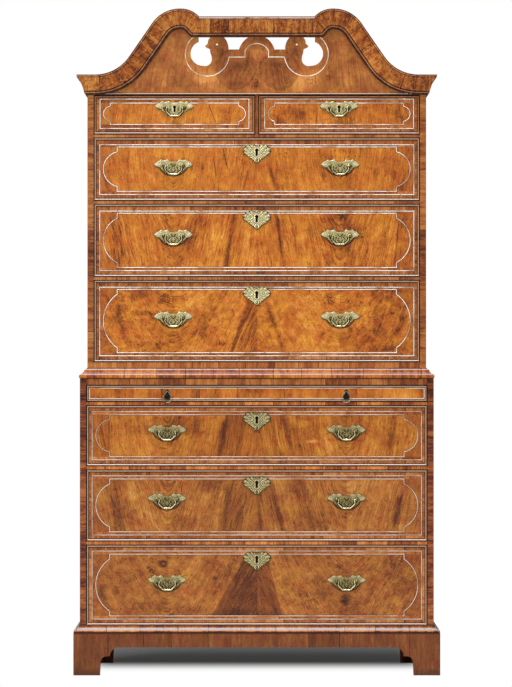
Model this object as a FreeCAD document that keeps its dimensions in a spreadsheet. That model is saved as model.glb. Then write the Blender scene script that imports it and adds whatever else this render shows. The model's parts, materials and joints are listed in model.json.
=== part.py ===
import FreeCAD, Part
import math
import os
import types

import Sketcher

# A walnut chest-on-chest. Millimetres; X to the right, the front faces -Y, Z up from the floor,
# and the origin lies on the floor under the middle of the whole outline.

doc = FreeCAD.newDocument("chest_on_chest")
sheet = doc.addObject("Spreadsheet::Sheet", "dims")

SIZES = {
    "lower_width": (1012, "lower case, over its sides"),
    "lower_depth": (540, "lower case, front to back"),
    "case_step": (21, "how far the upper case stands in, at the front and at each side"),
    "side_thickness": (19, "case sides, seen as stiles from the front"),
    "plinth_height": (121.5, "floor to the top of the bracket plinth"),
    "plinth_projection": (18, "plinth beyond the lower case"),
    "bracket_thickness": (22, "boards of the bracket plinth"),
    "apron_clearance": (80, "floor to the underside of the apron"),
    "foot_width": (76, "bracket foot at the floor"),
    "block_size": (45, "glue block inside each foot"),
    "block_lift": (2, "glue block above the floor"),
    "lower_bottom": (22, "bottom board of the lower case"),
    "lower_3_height": (228.5, "opening of the deepest lower drawer"),
    "lower_2_height": (203, "opening of the middle lower drawer"),
    "lower_1_height": (172, "opening of the shallow lower drawer"),
    "slide_height": (46, "opening of the brushing slide"),
    "lower_rail": (12, "rails of the lower case"),
    "lower_top": (17.5, "top board of the lower case"),
    "base_height": (22, "moulding on the plinth"),
    "base_projection": (17.5, "moulding on the plinth, beyond the case"),
    "waist_height": (31.5, "moulding between the cases"),
    "waist_overhang": (2.6, "waist moulding beyond the lower case"),
    "foot_rail_height": (50, "front rail at the foot of the upper case"),
    "foot_rail_depth": (20, "the same rail, front to back"),
    "upper_bottom": (18, "bottom board of the upper case"),
    "upper_3_height": (233, "opening of the deepest upper drawer"),
    "upper_2_height": (207, "opening of the middle upper drawer"),
    "upper_1_height": (179, "opening of the shallow upper drawer"),
    "small_height": (110, "openings of the two small drawers"),
    "upper_rail": (11, "rails of the upper case"),
    "upper_top": (16, "top board of the upper case"),
    "muntin_width": (11, "upright between the small drawers"),
    "rail_depth": (60, "drawer rails, front to back"),
    "dustboard": (8, "dustboards behind the rails"),
    "housing": (5, "rails and dustboards let into the sides"),
    "housing_stop": (10, "housing kept back from the front edge"),
    "back_thickness": (10, "backboards"),
    "back_lap": (9, "backboards let into the sides"),
    "cornice_rise": (58.5, "small drawers' opening to the top of the level cornice"),
    "cornice_width": (57, "cornice moulding across its face"),
    "cornice_projection": (30.5, "cornice moulding beyond the case"),
    "frieze_bead": (5, "bead above the small drawers"),
    "frieze_bead_nose": (4, "the same bead beyond the case"),
    "pediment_thickness": (20, "pierced pediment board"),
    "level_cornice": (84.4, "side of the upper case to the corner where the pediment starts to rise"),
    "slope_foot": (400.6, "centre line to the corner where the pediment starts to rise"),
    "slope_head": (270.5, "centre line to the corner where the slope meets the crest"),
    "crest_rise": (188.6, "level cornice to the crest"),
    "crest_end": (186.2, "centre line to the inner corner of the crest"),
    "valley_half": (165, "centre line to the valley beside the middle length"),
    "valley_rise": (166, "level cornice to the top of the middle length"),
    "foot_radius": (118, "hollow at the foot of the slope"),
    "crest_radius": (96, "outer shoulder of the crest"),
    "crest_end_radius": (70, "inner shoulder of the crest"),
    "front_thickness": (22, "drawer fronts"),
    "drawer_side": (10, "drawer sides"),
    "drawer_back": (10, "drawer backs"),
    "drawer_bottom": (8, "drawer bottoms"),
    "bottom_lift": (8, "drawer bottom above the runners"),
    "groove": (5, "groove for the drawer bottom"),
    "tail_lap": (14, "dovetails let into the drawer front"),
    "tail_flare": (3, "widening of each dovetail"),
    "side_drop": (3, "drawer sides below the top of the front"),
    "side_gap": (1, "drawer to the side of its opening"),
    "head_gap": (1.5, "drawer to the top of its opening"),
    "runner_gap": (0.3, "drawer above its runner"),
    "back_gap": (12, "drawer to the backboards"),
    "bead_width": (4, "cockbead"),
    "bead_depth": (8, "cockbead let into the front"),
    "bead_projection": (2, "nose of the cockbead"),
    "slide_front": (18, "front of the brushing slide"),
    "slide_board": (20, "board of the brushing slide"),
    "slide_tongue": (6, "slide board let into its front"),
    "kicker_width": (25, "strips that hold the slide down"),
    "kicker_gap": (0.5, "slide board below the strips"),
    "stop_width": (40, "drawer stop"),
    "stop_depth": (25, "drawer stop, front to back"),
    "stop_height": (6, "drawer stop above the runners"),
    "stop_inset": (70, "drawer stop from the end of its opening"),
    "upper_handle": (239, "centre line to the handles of the upper drawers"),
    "lower_handle": (256.5, "centre line to the handles of the lower drawers"),
    "upper_1_lift": (10, "middle of the shallow upper drawer's opening to its handle posts"),
    "upper_2_lift": (13, "the same on the middle upper drawer"),
    "upper_3_lift": (9.5, "the same on the deepest upper drawer"),
    "lower_1_lift": (13, "the same on the shallow lower drawer"),
    "lower_2_lift": (16.5, "the same on the middle lower drawer"),
    "lower_3_lift": (11, "the same on the deepest lower drawer"),
    "post_half": (28.5, "half the distance between the two posts of a handle"),
    "post_reach": (6, "back plate to the pivot of the bail"),
    "post_head": (9.5, "round head of the post"),
    "post_neck": (8, "collar of the post"),
    "neck_length": (2, "collar of the post, off the plate"),
    "post_shank": (4, "threaded shank of the post"),
    "nut_size": (11, "nut inside the drawer"),
    "nut_length": (4, "nut inside the drawer, thickness"),
    "plate_width": (107, "back plate of the handle"),
    "plate_thickness": (1.5, "back plates and escutcheons"),
    "bail_wire": (4, "bail"),
    "bail_drop": (25, "pivot to the middle of the bail's grip"),
    "bail_spread": (25, "half the width of the bail at its widest"),
    "bail_grip": (11, "half the straight part of the grip, to its corners"),
    "bail_widest": (11.3, "pivot down to where the bail is widest"),
    "bail_shoulder": (2.2, "bend of the bail beside the post"),
    "bail_side_bend": (7, "bend of the bail where it is widest"),
    "bail_grip_bend": (9, "bend of the bail at the ends of the grip"),
    "bail_gap": (0.3, "bail to the head of the post"),
    "pivot_depth": (4, "bail's end inside the post"),
    "pivot_fit": (0.1, "play of the bail in the post, on the radius"),
    "escutcheon_width": (82, "escutcheon"),
    "key_drop": (41.5, "top of the opening to the middle of the keyhole"),
    "small_post_drop": (33.5, "top of the opening to the posts of a small drawer"),
    "small_key_drop": (4.9, "posts of a small drawer to the middle of its keyhole"),
    "key_round": (7.5, "round part of the keyhole"),
    "key_slot": (4.6, "slot of the keyhole"),
    "key_height": (18.6, "keyhole, top to bottom"),
    "key_reach": (2, "keyhole inside the lock"),
    "lock_width": (42, "lock"),
    "lock_height": (60, "lock, top to bottom"),
    "lock_thickness": (12, "lock, front to back"),
    "bolt_width": (24, "lock bolt"),
    "bolt_thickness": (6, "lock bolt, front to back"),
    "bolt_length": (22, "lock bolt, top to bottom"),
    "bolt_fit": (0.2, "play of the bolt in the lock, each side"),
    "mortice_depth": (7, "mortice for the bolt"),
    "mortice_play": (1, "mortice around the bolt"),
    "ring_place": (256, "centre line to the ring pulls"),
    "ring_lift": (4.2, "middle of the slide's front to the pivots of the rings"),
    "ring_radius": (12, "round part of the ring, to the middle of its wire"),
    "ring_wire": (2.5, "ring"),
    "ring_drop": (18, "pivot to the middle of the round part"),
    "ring_reach": (7, "slide to the pivot of the ring"),
    "ring_bend": (1.6, "bend at each end of the ring's straight top"),
    "ring_play": (0.8, "straight top of the ring beyond the eye, each side"),
    "ring_eye": (7, "eye that carries the ring"),
    "eye_width": (5, "the same eye, side to side"),
    "rosette": (19, "round plate behind the ring"),
    "rosette_thickness": (2, "the same plate"),
    "boss": (14, "raised middle of the plate"),
    "boss_thickness": (2, "raised middle, above the plate"),
    "rosette_drop": (12.5, "pivot to the middle of the plate"),
    "rosette_ear": (12, "upper lobe of the plate, round the shank"),
}


class Size:
    """A length in millimetres with the sheet formula that gives it."""

    def __init__(self, value, text=None):
        self.value = float(value)
        self.text = text or repr(round(self.value, 6))

    def join(self, other, sign, value):
        return Size(value, f"({self.text} {sign} {other.text})")

    def __add__(self, other):
        other = as_size(other)
        return self.join(other, "+", self.value + other.value)

    def __sub__(self, other):
        other = as_size(other)
        return self.join(other, "-", self.value - other.value)

    def __mul__(self, other):
        other = as_size(other)
        return self.join(other, "*", self.value * other.value)

    def __truediv__(self, other):
        other = as_size(other)
        return self.join(other, "/", self.value / other.value)

    def __neg__(self):
        return Size(-self.value, f"(0 - {self.text})")

    def __radd__(self, other):
        return as_size(other) + self

    def __rsub__(self, other):
        return as_size(other) - self

    def __rmul__(self, other):
        return as_size(other) * self


def as_size(length):
    return length if isinstance(length, Size) else Size(length)


def fill_sheet():
    """Write every size to the sheet, and return them by name."""
    named = {}
    for row, (alias, (length, note)) in enumerate(SIZES.items(), 1):
        sheet.set(f"A{row}", note)
        sheet.set(f"B{row}", str(length))
        sheet.setAlias(f"B{row}", alias)
        named[alias] = Size(length, f"dims.{alias}")
    doc.recompute()
    return types.SimpleNamespace(**named)


d = fill_sheet()

# Places worked out from the sizes

lower_half = d.lower_width / 2
upper_half = lower_half - d.case_step
lower_inner = lower_half - d.side_thickness
upper_inner = upper_half - d.side_thickness
lower_front = (d.plinth_projection - d.lower_depth) / 2
upper_front = lower_front + d.case_step
case_back = lower_front + d.lower_depth
back_face = case_back - d.back_thickness
drawer_end = back_face - d.back_gap

lower_3_floor = d.plinth_height + d.lower_bottom
lower_2_floor = lower_3_floor + d.lower_3_height + d.lower_rail
lower_1_floor = lower_2_floor + d.lower_2_height + d.lower_rail
slide_floor = lower_1_floor + d.lower_1_height + d.lower_rail
lower_ceiling = slide_floor + d.slide_height
lower_case_top = lower_ceiling + d.lower_top
upper_3_floor = lower_case_top + d.foot_rail_height
upper_2_floor = upper_3_floor + d.upper_3_height + d.upper_rail
upper_1_floor = upper_2_floor + d.upper_2_height + d.upper_rail
small_floor = upper_1_floor + d.upper_1_height + d.upper_rail
small_ceiling = small_floor + d.small_height
cornice_top = small_ceiling + d.cornice_rise
muntin_half = d.muntin_width / 2
small_middle = (muntin_half + upper_inner) / 2

# Outlines. A stop is (x, y), (x, y, radius) for a rounded corner, or ("through", x, y) for an arc
# from the stop before it to the stop after it.

# Moulding sections: outward from the case, and up from the lower edge
CORNICE_SECTION = [
    (0, 0), (4.5, 0), ("through", 7, 2.5), (4.5, 5), (7.5, 5), ("through", 10, 7.5), (7.5, 10),
    (10.5, 11), ("through", 15.8, 28), (27, 51), (30.5, 51), (30.5, 57), (0, 57),
]
WAIST_SECTION = [
    (0, 0), (19, 0), ("through", 23.6, 8), (18, 15), (14, 15.5), (13, 19), (10, 20),
    ("through", 8.6, 26), (2.5, 29), (2, 31.5), (0, 31.5),
]
BASE_SECTION = [
    (0, 0), (14.5, 0), ("through", 17.5, 4), (14.5, 8), (11.5, 9), ("through", 5, 13.5), (3, 22),
    (0, 22),
]
# Inner edge of a bracket foot: along the floor from its outer corner, and up to the apron
FOOT_CURVE = [
    (76, 0), (77.5, 36), ("through", 80.5, 47), (90, 54), (104, 55), ("through", 109.5, 70), (124, 80),
]
# Right half of a handle's back plate, from its top edge round to its lowest point; the posts' line is 0
PLATE_HALF = [
    (12.5, 8.5), (16.5, 14), (27, 13), (35.5, 15.5), (38.5, 11), ("through", 47.5, 9), (53.5, 0),
    ("through", 48, -6.5), (38, -6.5), (34.5, -12.5), (27.5, -15.5), ("through", 20, -23), (8, -27.5),
    (0, -32),
]
# Right half of the escutcheon, from its top edge; the keyhole's middle is 0
ESCUTCHEON_HALF = [
    (0, 18), ("through", 8, 22), (15, 18.5), ("through", 24, 21.5), (31, 16), (34, 10.5), (41, 4),
    ("through", 37.5, -4), (30, -5), ("through", 28, -11.5), (20, -12), ("through", 18.5, -18.5), (11, -19),
    ("through", 8, -27), (0, -30.5),
]
# Piercings of the pediment's right half: from the centre line, and down from the middle moulding
BEAK_HOLE = [
    (167, 0), (166.5, -13), ("through", 190, -47), (153, -82.5), ("through", 137, -79.5), (129.5, -68),
    ("through", 129.5, -57), (133, -45), (134.5, -33.5), (143.5, -30), (148, -26), (140.5, -18.5),
    ("through", 138.5, -8), (132, 0),
]
ARCH_HOLE = [(94.5, 0), ("through", 85, -14), (81, -35.5), (51, -35.5), ("through", 41, -15.5), (23, 0)]
EYE_HOLE = (114.3, -20.7, 3)
# How far the arched moulding runs on past its mitre before it is cut, as a share of its width
OVERRUN = 2 / 3


def bind(thing, prop, length):
    """Tie a property to the sheet; a plain number is written as it is."""
    thing.setExpression(prop, as_size(length).text)


def stretched(stops, wide, tall):
    """The stops as sizes, their drawn width and height brought to the sheet's."""
    corners = [stop[-2:] for stop in stops]
    drawn_wide = max(abs(x) for x, _ in corners)
    drawn_tall = max(abs(y) for _, y in corners)
    across, up = wide / drawn_wide, tall / drawn_tall
    return [stop[:-2] + (across * stop[-2], up * stop[-1]) for stop in stops]


def moved(stops, x, y, flip=1):
    """The stops mirrored in X where flip is -1, then moved."""
    return [stop[:-2] + (x + flip * stop[-2], y + stop[-1]) for stop in stops]


def mirrored_loop(half):
    """A closed outline from its right half, which starts and may end on the centre line."""
    left = [stop[:-2] + (-1 * as_size(stop[-2]), stop[-1]) for stop in reversed(half)]
    keep = [stop for stop in left if as_size(stop[-2]).value != 0]
    return half + keep


def point(stop):
    return FreeCAD.Vector(as_size(stop[0]).value, as_size(stop[1]).value, 0)


def add_arc(sketch, start, middle, end):
    """An arc through three points, with the numbers of its start and end in the sketch's own order."""
    if (middle - start).cross(end - middle).z > 0:
        return sketch.addGeometry(Part.Arc(start, middle, end)), 1, 2
    return sketch.addGeometry(Part.Arc(end, middle, start)), 2, 1


def pin(rules, geometry, end, stop):
    """Hold one point of the sketch at a stop."""
    for kind, length in (("DistanceX", as_size(stop[0])), ("DistanceY", as_size(stop[1]))):
        rules.append((Sketcher.Constraint(kind, -1, 1, geometry, end, length.value), length))


def keep_radius(rules, arc, radius):
    radius = as_size(radius)
    rules.append((Sketcher.Constraint("Radius", arc, radius.value), radius))


def add_rules(sketch, rules):
    """Add the constraints in one go, then tie those that the sheet drives."""
    first = sketch.ConstraintCount
    sketch.addConstraint([rule for rule, _ in rules])
    for number, (_, length) in enumerate(rules, first):
        if length and "dims." in length.text:
            sketch.setExpression(f"Constraints[{number}]", length.text)


def draw(sketch, stops, closed=True):
    """Draw lines, arcs and rounded corners through the stops, every one of them held by the sheet."""
    corners, bulges, rules = [], {}, []
    for stop in stops:
        if stop[0] == "through":
            bulges[len(corners) - 1] = stop[1:]
        else:
            corners.append(stop)
    count = len(corners)
    entries = [point(corner) for corner in corners]
    exits = list(entries)
    bends = {}
    for number, corner in enumerate(corners):
        if len(corner) < 3:
            continue
        here = point(corner)
        back = (point(corners[number - 1]) - here).normalize()
        ahead = (point(corners[(number + 1) % count]) - here).normalize()
        half_turn = back.getAngle(ahead) / 2
        radius = as_size(corner[2]).value
        run = radius / math.tan(half_turn)
        entries[number] = here + back * run
        exits[number] = here + ahead * run
        middle = here + (back + ahead).normalize() * (radius / math.sin(half_turn) - radius)
        bends[number] = add_arc(sketch, entries[number], middle, exits[number])
    spans = []
    for number in range(count if closed else count - 1):
        start, end = exits[number], entries[(number + 1) % count]
        if number in bulges:
            arc, first, last = add_arc(sketch, start, point(bulges[number]), end)
            mark = sketch.addGeometry(Part.Point(point(bulges[number])), True)
            pin(rules, mark, 1, bulges[number])
            rules.append((Sketcher.Constraint("PointOnObject", mark, 1, arc), None))
            spans.append((arc, first, last))
        else:
            spans.append((sketch.addGeometry(Part.LineSegment(start, end)), 1, 2))
    for number, corner in enumerate(corners):
        after = spans[number] if number < len(spans) else None
        before = spans[number - 1] if closed or number else None
        if number in bends:
            arc, first, last = bends[number]
            mark = sketch.addGeometry(Part.Point(point(corner)), True)
            pin(rules, mark, 1, corner)
            keep_radius(rules, arc, corner[2])
            rules += [
                (Sketcher.Constraint("Tangent", before[0], before[2], arc, first), None),
                (Sketcher.Constraint("Tangent", arc, last, after[0], after[1]), None),
                (Sketcher.Constraint("PointOnObject", mark, 1, before[0]), None),
                (Sketcher.Constraint("PointOnObject", mark, 1, after[0]), None),
            ]
        elif before and after:
            pin(rules, after[0], after[1], corner)
            joint = Sketcher.Constraint("Coincident", before[0], before[2], after[0], after[1])
            rules.append((joint, None))
        elif after:
            pin(rules, after[0], after[1], corner)
        else:
            pin(rules, before[0], before[2], corner)
    add_rules(sketch, rules)


def draw_circle(sketch, x, y, radius):
    rules = []
    circle = sketch.addGeometry(Part.Circle(point((x, y)), FreeCAD.Vector(0, 0, 1), as_size(radius).value))
    pin(rules, circle, 3, (x, y))
    keep_radius(rules, circle, radius)
    add_rules(sketch, rules)


def new_sketch(body, plane, offset=0):
    """A sketch on one of the body's own origin planes, moved along the plane's normal."""
    sketch = body.newObject("Sketcher::SketchObject", "outline")
    base = next(feature for feature in body.Origin.OriginFeatures if feature.Role == plane)
    sketch.AttachmentSupport = (base, [""])
    sketch.MapMode = "FlatFace"
    bind(sketch, "AttachmentOffset.Base.z", offset)
    return sketch


def place(thing, at):
    for letter, length in zip("xyz", at):
        bind(thing, f"Placement.Base.{letter}", length)


def prism(name, plane, loops, length, at, reverse=False, circles=()):
    """A body padded from an outline. XY pads up, YZ pads to the right and XZ pads to the front."""
    body = doc.addObject("PartDesign::Body", name)
    sketch = new_sketch(body, plane)
    for loop in loops:
        draw(sketch, loop)
    for circle in circles:
        draw_circle(sketch, *circle)
    pad = body.newObject("PartDesign::Pad", "pad")
    pad.Profile = sketch
    pad.Reversed = reverse
    pad.Refine = False
    bind(pad, "Length", length)
    place(body, at)
    return body


def tube(name, route, closed, profile_plane, start, radius, at):
    """A round bar swept along a route in the XZ plane, from its first stop."""
    body = doc.addObject("PartDesign::Body", name)
    path = new_sketch(body, "XZ_Plane")
    draw(path, route, closed)
    profile = new_sketch(body, profile_plane, start[0])
    draw_circle(profile, 0, start[1], radius)
    pipe = body.newObject("PartDesign::AdditivePipe", "pipe")
    pipe.Profile = profile
    pipe.Spine = (path, [])
    pipe.Refine = False
    place(body, at)
    return body


def box(name, x, y, z):
    """A board between the low and high ends given for each axis."""
    board = doc.addObject("Part::Box", name)
    for prop, (low, high) in zip(("Length", "Width", "Height"), (x, y, z)):
        bind(board, prop, high - low)
    place(board, (x[0], y[0], z[0]))
    return board


def rod(name, direction, radius, length, at):
    """A cylinder from a point along +X, +Y or +Z."""
    cylinder = doc.addObject("Part::Cylinder", name)
    turn = FreeCAD.Rotation(FreeCAD.Vector(0, 0, 1), FreeCAD.Vector(*direction))
    cylinder.Placement = FreeCAD.Placement(FreeCAD.Vector(), turn)
    bind(cylinder, "Radius", radius)
    bind(cylinder, "Height", length)
    place(cylinder, at)
    return cylinder


def ball(name, radius, at):
    sphere = doc.addObject("Part::Sphere", name)
    bind(sphere, "Radius", radius)
    place(sphere, at)
    return sphere


def together(name, pieces):
    """Several solids kept apart in one object."""
    group = doc.addObject("Part::Compound", name)
    group.Links = pieces
    return group


def cut(name, base, tools):
    result = doc.addObject("Part::Cut", name)
    result.Base = base
    result.Tool = together(f"{name}_tools", tools) if len(tools) > 1 else tools[0]
    return result


def common(name, first, second):
    result = doc.addObject("Part::Common", name)
    result.Base = first
    result.Tool = second
    return result


def fuse(name, pieces):
    result = doc.addObject("Part::MultiFuse", name)
    result.Shapes = pieces
    return result


def mirror(name, source):
    """The source's twin across the centre line."""
    twin = doc.addObject("Part::Mirroring", name)
    twin.Source = source
    twin.Normal = FreeCAD.Vector(1, 0, 0)
    return twin


def copy_at(name, source, at):
    """The source's shape again at another place."""
    copy = together(name, [source])
    place(copy, at)
    return copy


nodes = []


def node(name, pieces, at=(0, 0, 0)):
    """Make the named sub-part: one object whose solids are its pieces."""
    part = together(name, pieces)
    part.Label = name
    place(part, at)
    nodes.append(part)
    return part


def housed(name, half, y, z):
    """A board between two case sides, its ends let into them behind the front edge."""
    shown = box(f"{name}_shown", (-half, half), y, z)
    reach = half + d.housing
    hidden = box(f"{name}_hidden", (-reach, reach), (y[0] + d.housing_stop, y[1]), z)
    return fuse(name, [shown, hidden])


def mitred_plan(name, inner, outer, z):
    """A block whose slanted ends are the mitres at the two front corners; (half width, y) twice."""
    loop = [(-inner[0], inner[1]), (-outer[0], outer[1]), (outer[0], outer[1]), (inner[0], inner[1])]
    return prism(name, "XY_Plane", [loop], z[1] - z[0], (0, 0, z[0]))


def moulding_side(name, section, half, front, floor):
    """One straight length of moulding down the right side of a case."""
    return prism(name, "XZ_Plane", [section], case_back - front, (half, case_back, floor))


def moulding_frame(name, section, projection, half, front, floor, height):
    """A moulding round the front and the sides, in three mitred lengths."""
    reach, edge = half + projection, front - projection
    plan = mitred_plan(f"{name}_plan", (half, front), (reach, edge), (floor, floor + height))
    across = [stop[:-2] + (-1 * stop[-2], stop[-1]) for stop in section]
    length = prism(f"{name}_length", "YZ_Plane", [across], 2 * reach, (-reach, front, floor))
    right = cut(f"{name}_right", moulding_side(f"{name}_run", section, half, edge, floor), [plan])
    return [common(f"{name}_front", length, plan), right, mirror(f"{name}_left", right)]


# The drawers: their openings, handles and keyholes. The right small drawer mirrors the left one.

def wide_drawer(name, inner, front, handle_x, floor, height, lift):
    """A full-width drawer whose posts stand a little above the middle of its opening."""
    return types.SimpleNamespace(
        name=name, small=False, x=(-inner, inner), floor=floor, height=height, front=front, tails=3,
        handles={"_left": -handle_x, "_right": handle_x}, posts=floor + height / 2 + lift, key=0,
    )


def upper_drawer(name, floor, height, lift):
    return wide_drawer(name, upper_inner, upper_front, d.upper_handle, floor, height, lift)


def lower_drawer(name, floor, height, lift):
    return wide_drawer(name, lower_inner, lower_front, d.lower_handle, floor, height, lift)


SMALL_LEFT = types.SimpleNamespace(
    name="top_left", small=True, x=(-upper_inner, -muntin_half), floor=small_floor, height=d.small_height,
    front=upper_front, tails=2, handles={"": -small_middle}, posts=small_ceiling - d.small_post_drop,
    key=-small_middle,
)
DRAWERS = [
    SMALL_LEFT,
    upper_drawer("upper_1", upper_1_floor, d.upper_1_height, d.upper_1_lift),
    upper_drawer("upper_2", upper_2_floor, d.upper_2_height, d.upper_2_lift),
    upper_drawer("upper_3", upper_3_floor, d.upper_3_height, d.upper_3_lift),
    lower_drawer("lower_1", lower_1_floor, d.lower_1_height, d.lower_1_lift),
    lower_drawer("lower_2", lower_2_floor, d.lower_2_height, d.lower_2_lift),
    lower_drawer("lower_3", lower_3_floor, d.lower_3_height, d.lower_3_lift),
]


# Bracket plinth

def bracket_plinth():
    half, front = lower_half + d.plinth_projection, lower_front - d.plinth_projection
    foot = stretched(FOOT_CURVE, FOOT_CURVE[-1][0] / FOOT_CURVE[0][0] * d.foot_width, d.apron_clearance)
    mirror_foot = [stop[:-2] + (-1 * stop[-2], stop[-1]) for stop in foot]
    span = case_back - front
    front_loop = (
        [(-half, d.plinth_height), (-half, 0)] + moved(foot, -half, 0)
        + moved(mirror_foot, half, 0)[::-1] + [(half, 0), (half, d.plinth_height)]
    )
    side_loop = (
        [(0, d.plinth_height), (0, 0)] + foot + moved(mirror_foot, span, 0)[::-1]
        + [(span, 0), (span, d.plinth_height)]
    )
    inner = half - d.bracket_thickness
    corner = (inner, front + d.bracket_thickness)
    plan = mitred_plan("plinth_plan", corner, (half, front), (0, d.plinth_height))
    board = prism("plinth_front_board", "XZ_Plane", [front_loop], d.bracket_thickness, (0, front, 0), True)
    flank = prism("plinth_side_board", "YZ_Plane", [side_loop], d.bracket_thickness, (inner, front, 0))
    right = cut("plinth_right", flank, [plan])
    rear_end = mirror_foot[-1]
    rear_loop = [(0, d.plinth_height), (0, 0)] + mirror_foot + [(rear_end[-2], d.plinth_height)]
    rear = prism("plinth_rear", "XZ_Plane", [rear_loop], d.bracket_thickness, (inner, case_back, 0))
    x = (inner - d.block_size, inner)
    z = (d.block_lift, d.plinth_height)
    y = front + d.bracket_thickness
    front_block = box("plinth_front_block", x, (y, y + d.block_size), z)
    y = case_back - d.bracket_thickness
    rear_block = box("plinth_rear_block", x, (y - d.block_size, y), z)
    sides = [right, rear, front_block, rear_block]
    twins = [mirror(f"{piece.Name}_twin", piece) for piece in sides]
    node("bracket_plinth", [common("plinth_front", board, plan)] + sides + twins)


bracket_plinth()

# Rails, dustboards and the boards of the two cases

rails = []
dustboards = []


def divider(name, half, front, floor, thickness, keys):
    """A rail under a drawer's floor with the dustboard behind it, and the mortices for the bolts below."""
    under = floor - thickness
    rail = housed(f"{name}_rail", half, (front, front + d.rail_depth), (under, floor))
    rails.append(cut(f"{name}_cut_rail", rail, mortices(name, front, under, keys)))
    y = (front + d.rail_depth, back_face)
    reach = half + d.housing
    dustboards.append(box(f"{name}_dustboard", (-reach, reach), y, (floor - d.dustboard, floor)))


def mortices(name, front, under, keys):
    middle = front + d.front_thickness - d.lock_thickness / 2
    half_wide = d.bolt_width / 2 + d.mortice_play
    half_deep = d.bolt_thickness / 2 + d.mortice_play
    y = (middle - half_deep, middle + half_deep)
    z = (under, under + d.mortice_depth)
    return [box(f"{name}_mortice", (key - half_wide, key + half_wide), y, z) for key in keys]


middle_key = [as_size(0)]
divider("slide", lower_inner, lower_front, slide_floor, d.lower_rail, middle_key)
divider("lower_1", lower_inner, lower_front, lower_1_floor, d.lower_rail, middle_key)
divider("lower_2", lower_inner, lower_front, lower_2_floor, d.lower_rail, middle_key)
divider("small", upper_inner, upper_front, small_floor, d.upper_rail, middle_key)
divider("upper_1", upper_inner, upper_front, upper_1_floor, d.upper_rail, middle_key)
divider("upper_2", upper_inner, upper_front, upper_2_floor, d.upper_rail, middle_key)

muntin_z = (small_floor, small_ceiling)
muntin = box("muntin", (-muntin_half, muntin_half), (upper_front, upper_front + d.rail_depth), muntin_z)
partition_y = (upper_front + d.rail_depth, back_face)
partition = box("partition", (-muntin_half, muntin_half), partition_y, muntin_z)

lower_bottom_board = housed(
    "lower_bottom_board", lower_inner, (lower_front, back_face), (d.plinth_height, lower_3_floor)
)
lower_top_board = housed(
    "lower_top_board", lower_inner, (lower_front, back_face), (lower_ceiling, lower_case_top)
)
foot_rail = housed(
    "foot_rail", upper_inner, (upper_front, upper_front + d.foot_rail_depth), (lower_case_top, upper_3_floor)
)
upper_bottom_board = housed(
    "upper_bottom_board", upper_inner, (upper_front + d.foot_rail_depth, back_face),
    (upper_3_floor - d.upper_bottom, upper_3_floor),
)
top_board = housed(
    "upper_top_blank", upper_inner, (upper_front, back_face), (small_ceiling, small_ceiling + d.upper_top)
)
upper_top_board = cut(
    "upper_top_board", top_board, mortices("top", upper_front, small_ceiling, [-small_middle, small_middle])
)


def planks(name, half, z):
    """Three upright backboards, edge to edge."""
    edges = [-half, -half / 3, half / 3, half]
    y = (back_face, case_back)
    return [box(f"{name}_plank", (edges[number], edges[number + 1]), y, z) for number in range(3)]


lower_planks = planks("lower", lower_inner + d.back_lap, (d.plinth_height, lower_case_top))
upper_planks = planks("upper", upper_inner + d.back_lap, (lower_case_top, small_ceiling + d.upper_top))

# Slide: its board, its front and the strips above the board

slide_x = (-lower_inner + d.side_gap, lower_inner - d.side_gap)
slide_z = (slide_floor + d.runner_gap, lower_ceiling - d.head_gap)
ring_height = (slide_z[0] + slide_z[1]) / 2 + d.ring_lift
slide_back = lower_front + d.slide_front
kicker_x = (lower_inner - d.kicker_width, lower_inner)
kicker_z = (slide_z[0] + d.slide_board + d.kicker_gap, lower_ceiling)
right_kicker = box("kicker_right", kicker_x, (slide_back + d.stop_depth, back_face), kicker_z)
kickers = [right_kicker, mirror("kicker_left", right_kicker)]

stops = []
for drawer in DRAWERS:
    y = (drawer.front + d.front_thickness, drawer.front + d.front_thickness + d.stop_depth)
    z = (drawer.floor, drawer.floor + d.stop_height)
    near, far = drawer.x[0] + d.stop_inset, drawer.x[1] - d.stop_inset
    pair = [
        box(f"{drawer.name}_stop", (near, near + d.stop_width), y, z),
        box(f"{drawer.name}_stop", (far - d.stop_width, far), y, z),
    ]
    stops += pair
    if drawer.small:
        stops += [mirror("top_right_stop", stop) for stop in pair]

# Pediment: the board, and the moulding in an arched length each side, a middle length and two returns.
# Heights here count from the top of the level cornice, and a wider or narrower case gets a pediment
# that is as much larger or smaller.

share = upper_half / (d.slope_foot + d.level_cornice)
slope_foot = d.slope_foot * share
slope_head = d.slope_head * share
crest_rise = d.crest_rise * share
crest_end = d.crest_end * share
valley_half = d.valley_half * share
valley_rise = d.valley_rise * share
valley_under = valley_rise - d.cornice_width


def pediment_edge():
    """The outer edge of the right half, from the case side to the valley."""
    return [
        (slope_foot, 0, d.foot_radius * share), (slope_head, crest_rise, d.crest_radius * share),
        (crest_end, crest_rise, d.crest_end_radius * share), (valley_half, valley_rise),
    ]


def pierced(stops, flip):
    """A piercing brought to the pediment's size, right of the centre line or left of it."""
    sized = [stop[:-2] + (share * stop[-2], share * stop[-1]) for stop in stops]
    return moved(sized, 0, valley_under, flip)


def pediment_board():
    foot = d.upper_top - d.cornice_rise
    edge = [(upper_half, foot), (upper_half, 0)] + pediment_edge()
    left = [(-1 * stop[0],) + stop[1:] for stop in reversed(edge)]
    holes = [pierced(hole, flip) for hole in (BEAK_HOLE, ARCH_HOLE) for flip in (1, -1)]
    x, z, radius = (share * size for size in EYE_HOLE)
    eyes = [(flip * x, valley_under + z, radius) for flip in (1, -1)]
    return prism(
        "pierced_board", "XZ_Plane", [edge + left] + holes, d.pediment_thickness,
        (0, upper_front, cornice_top), True, eyes,
    )


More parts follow.
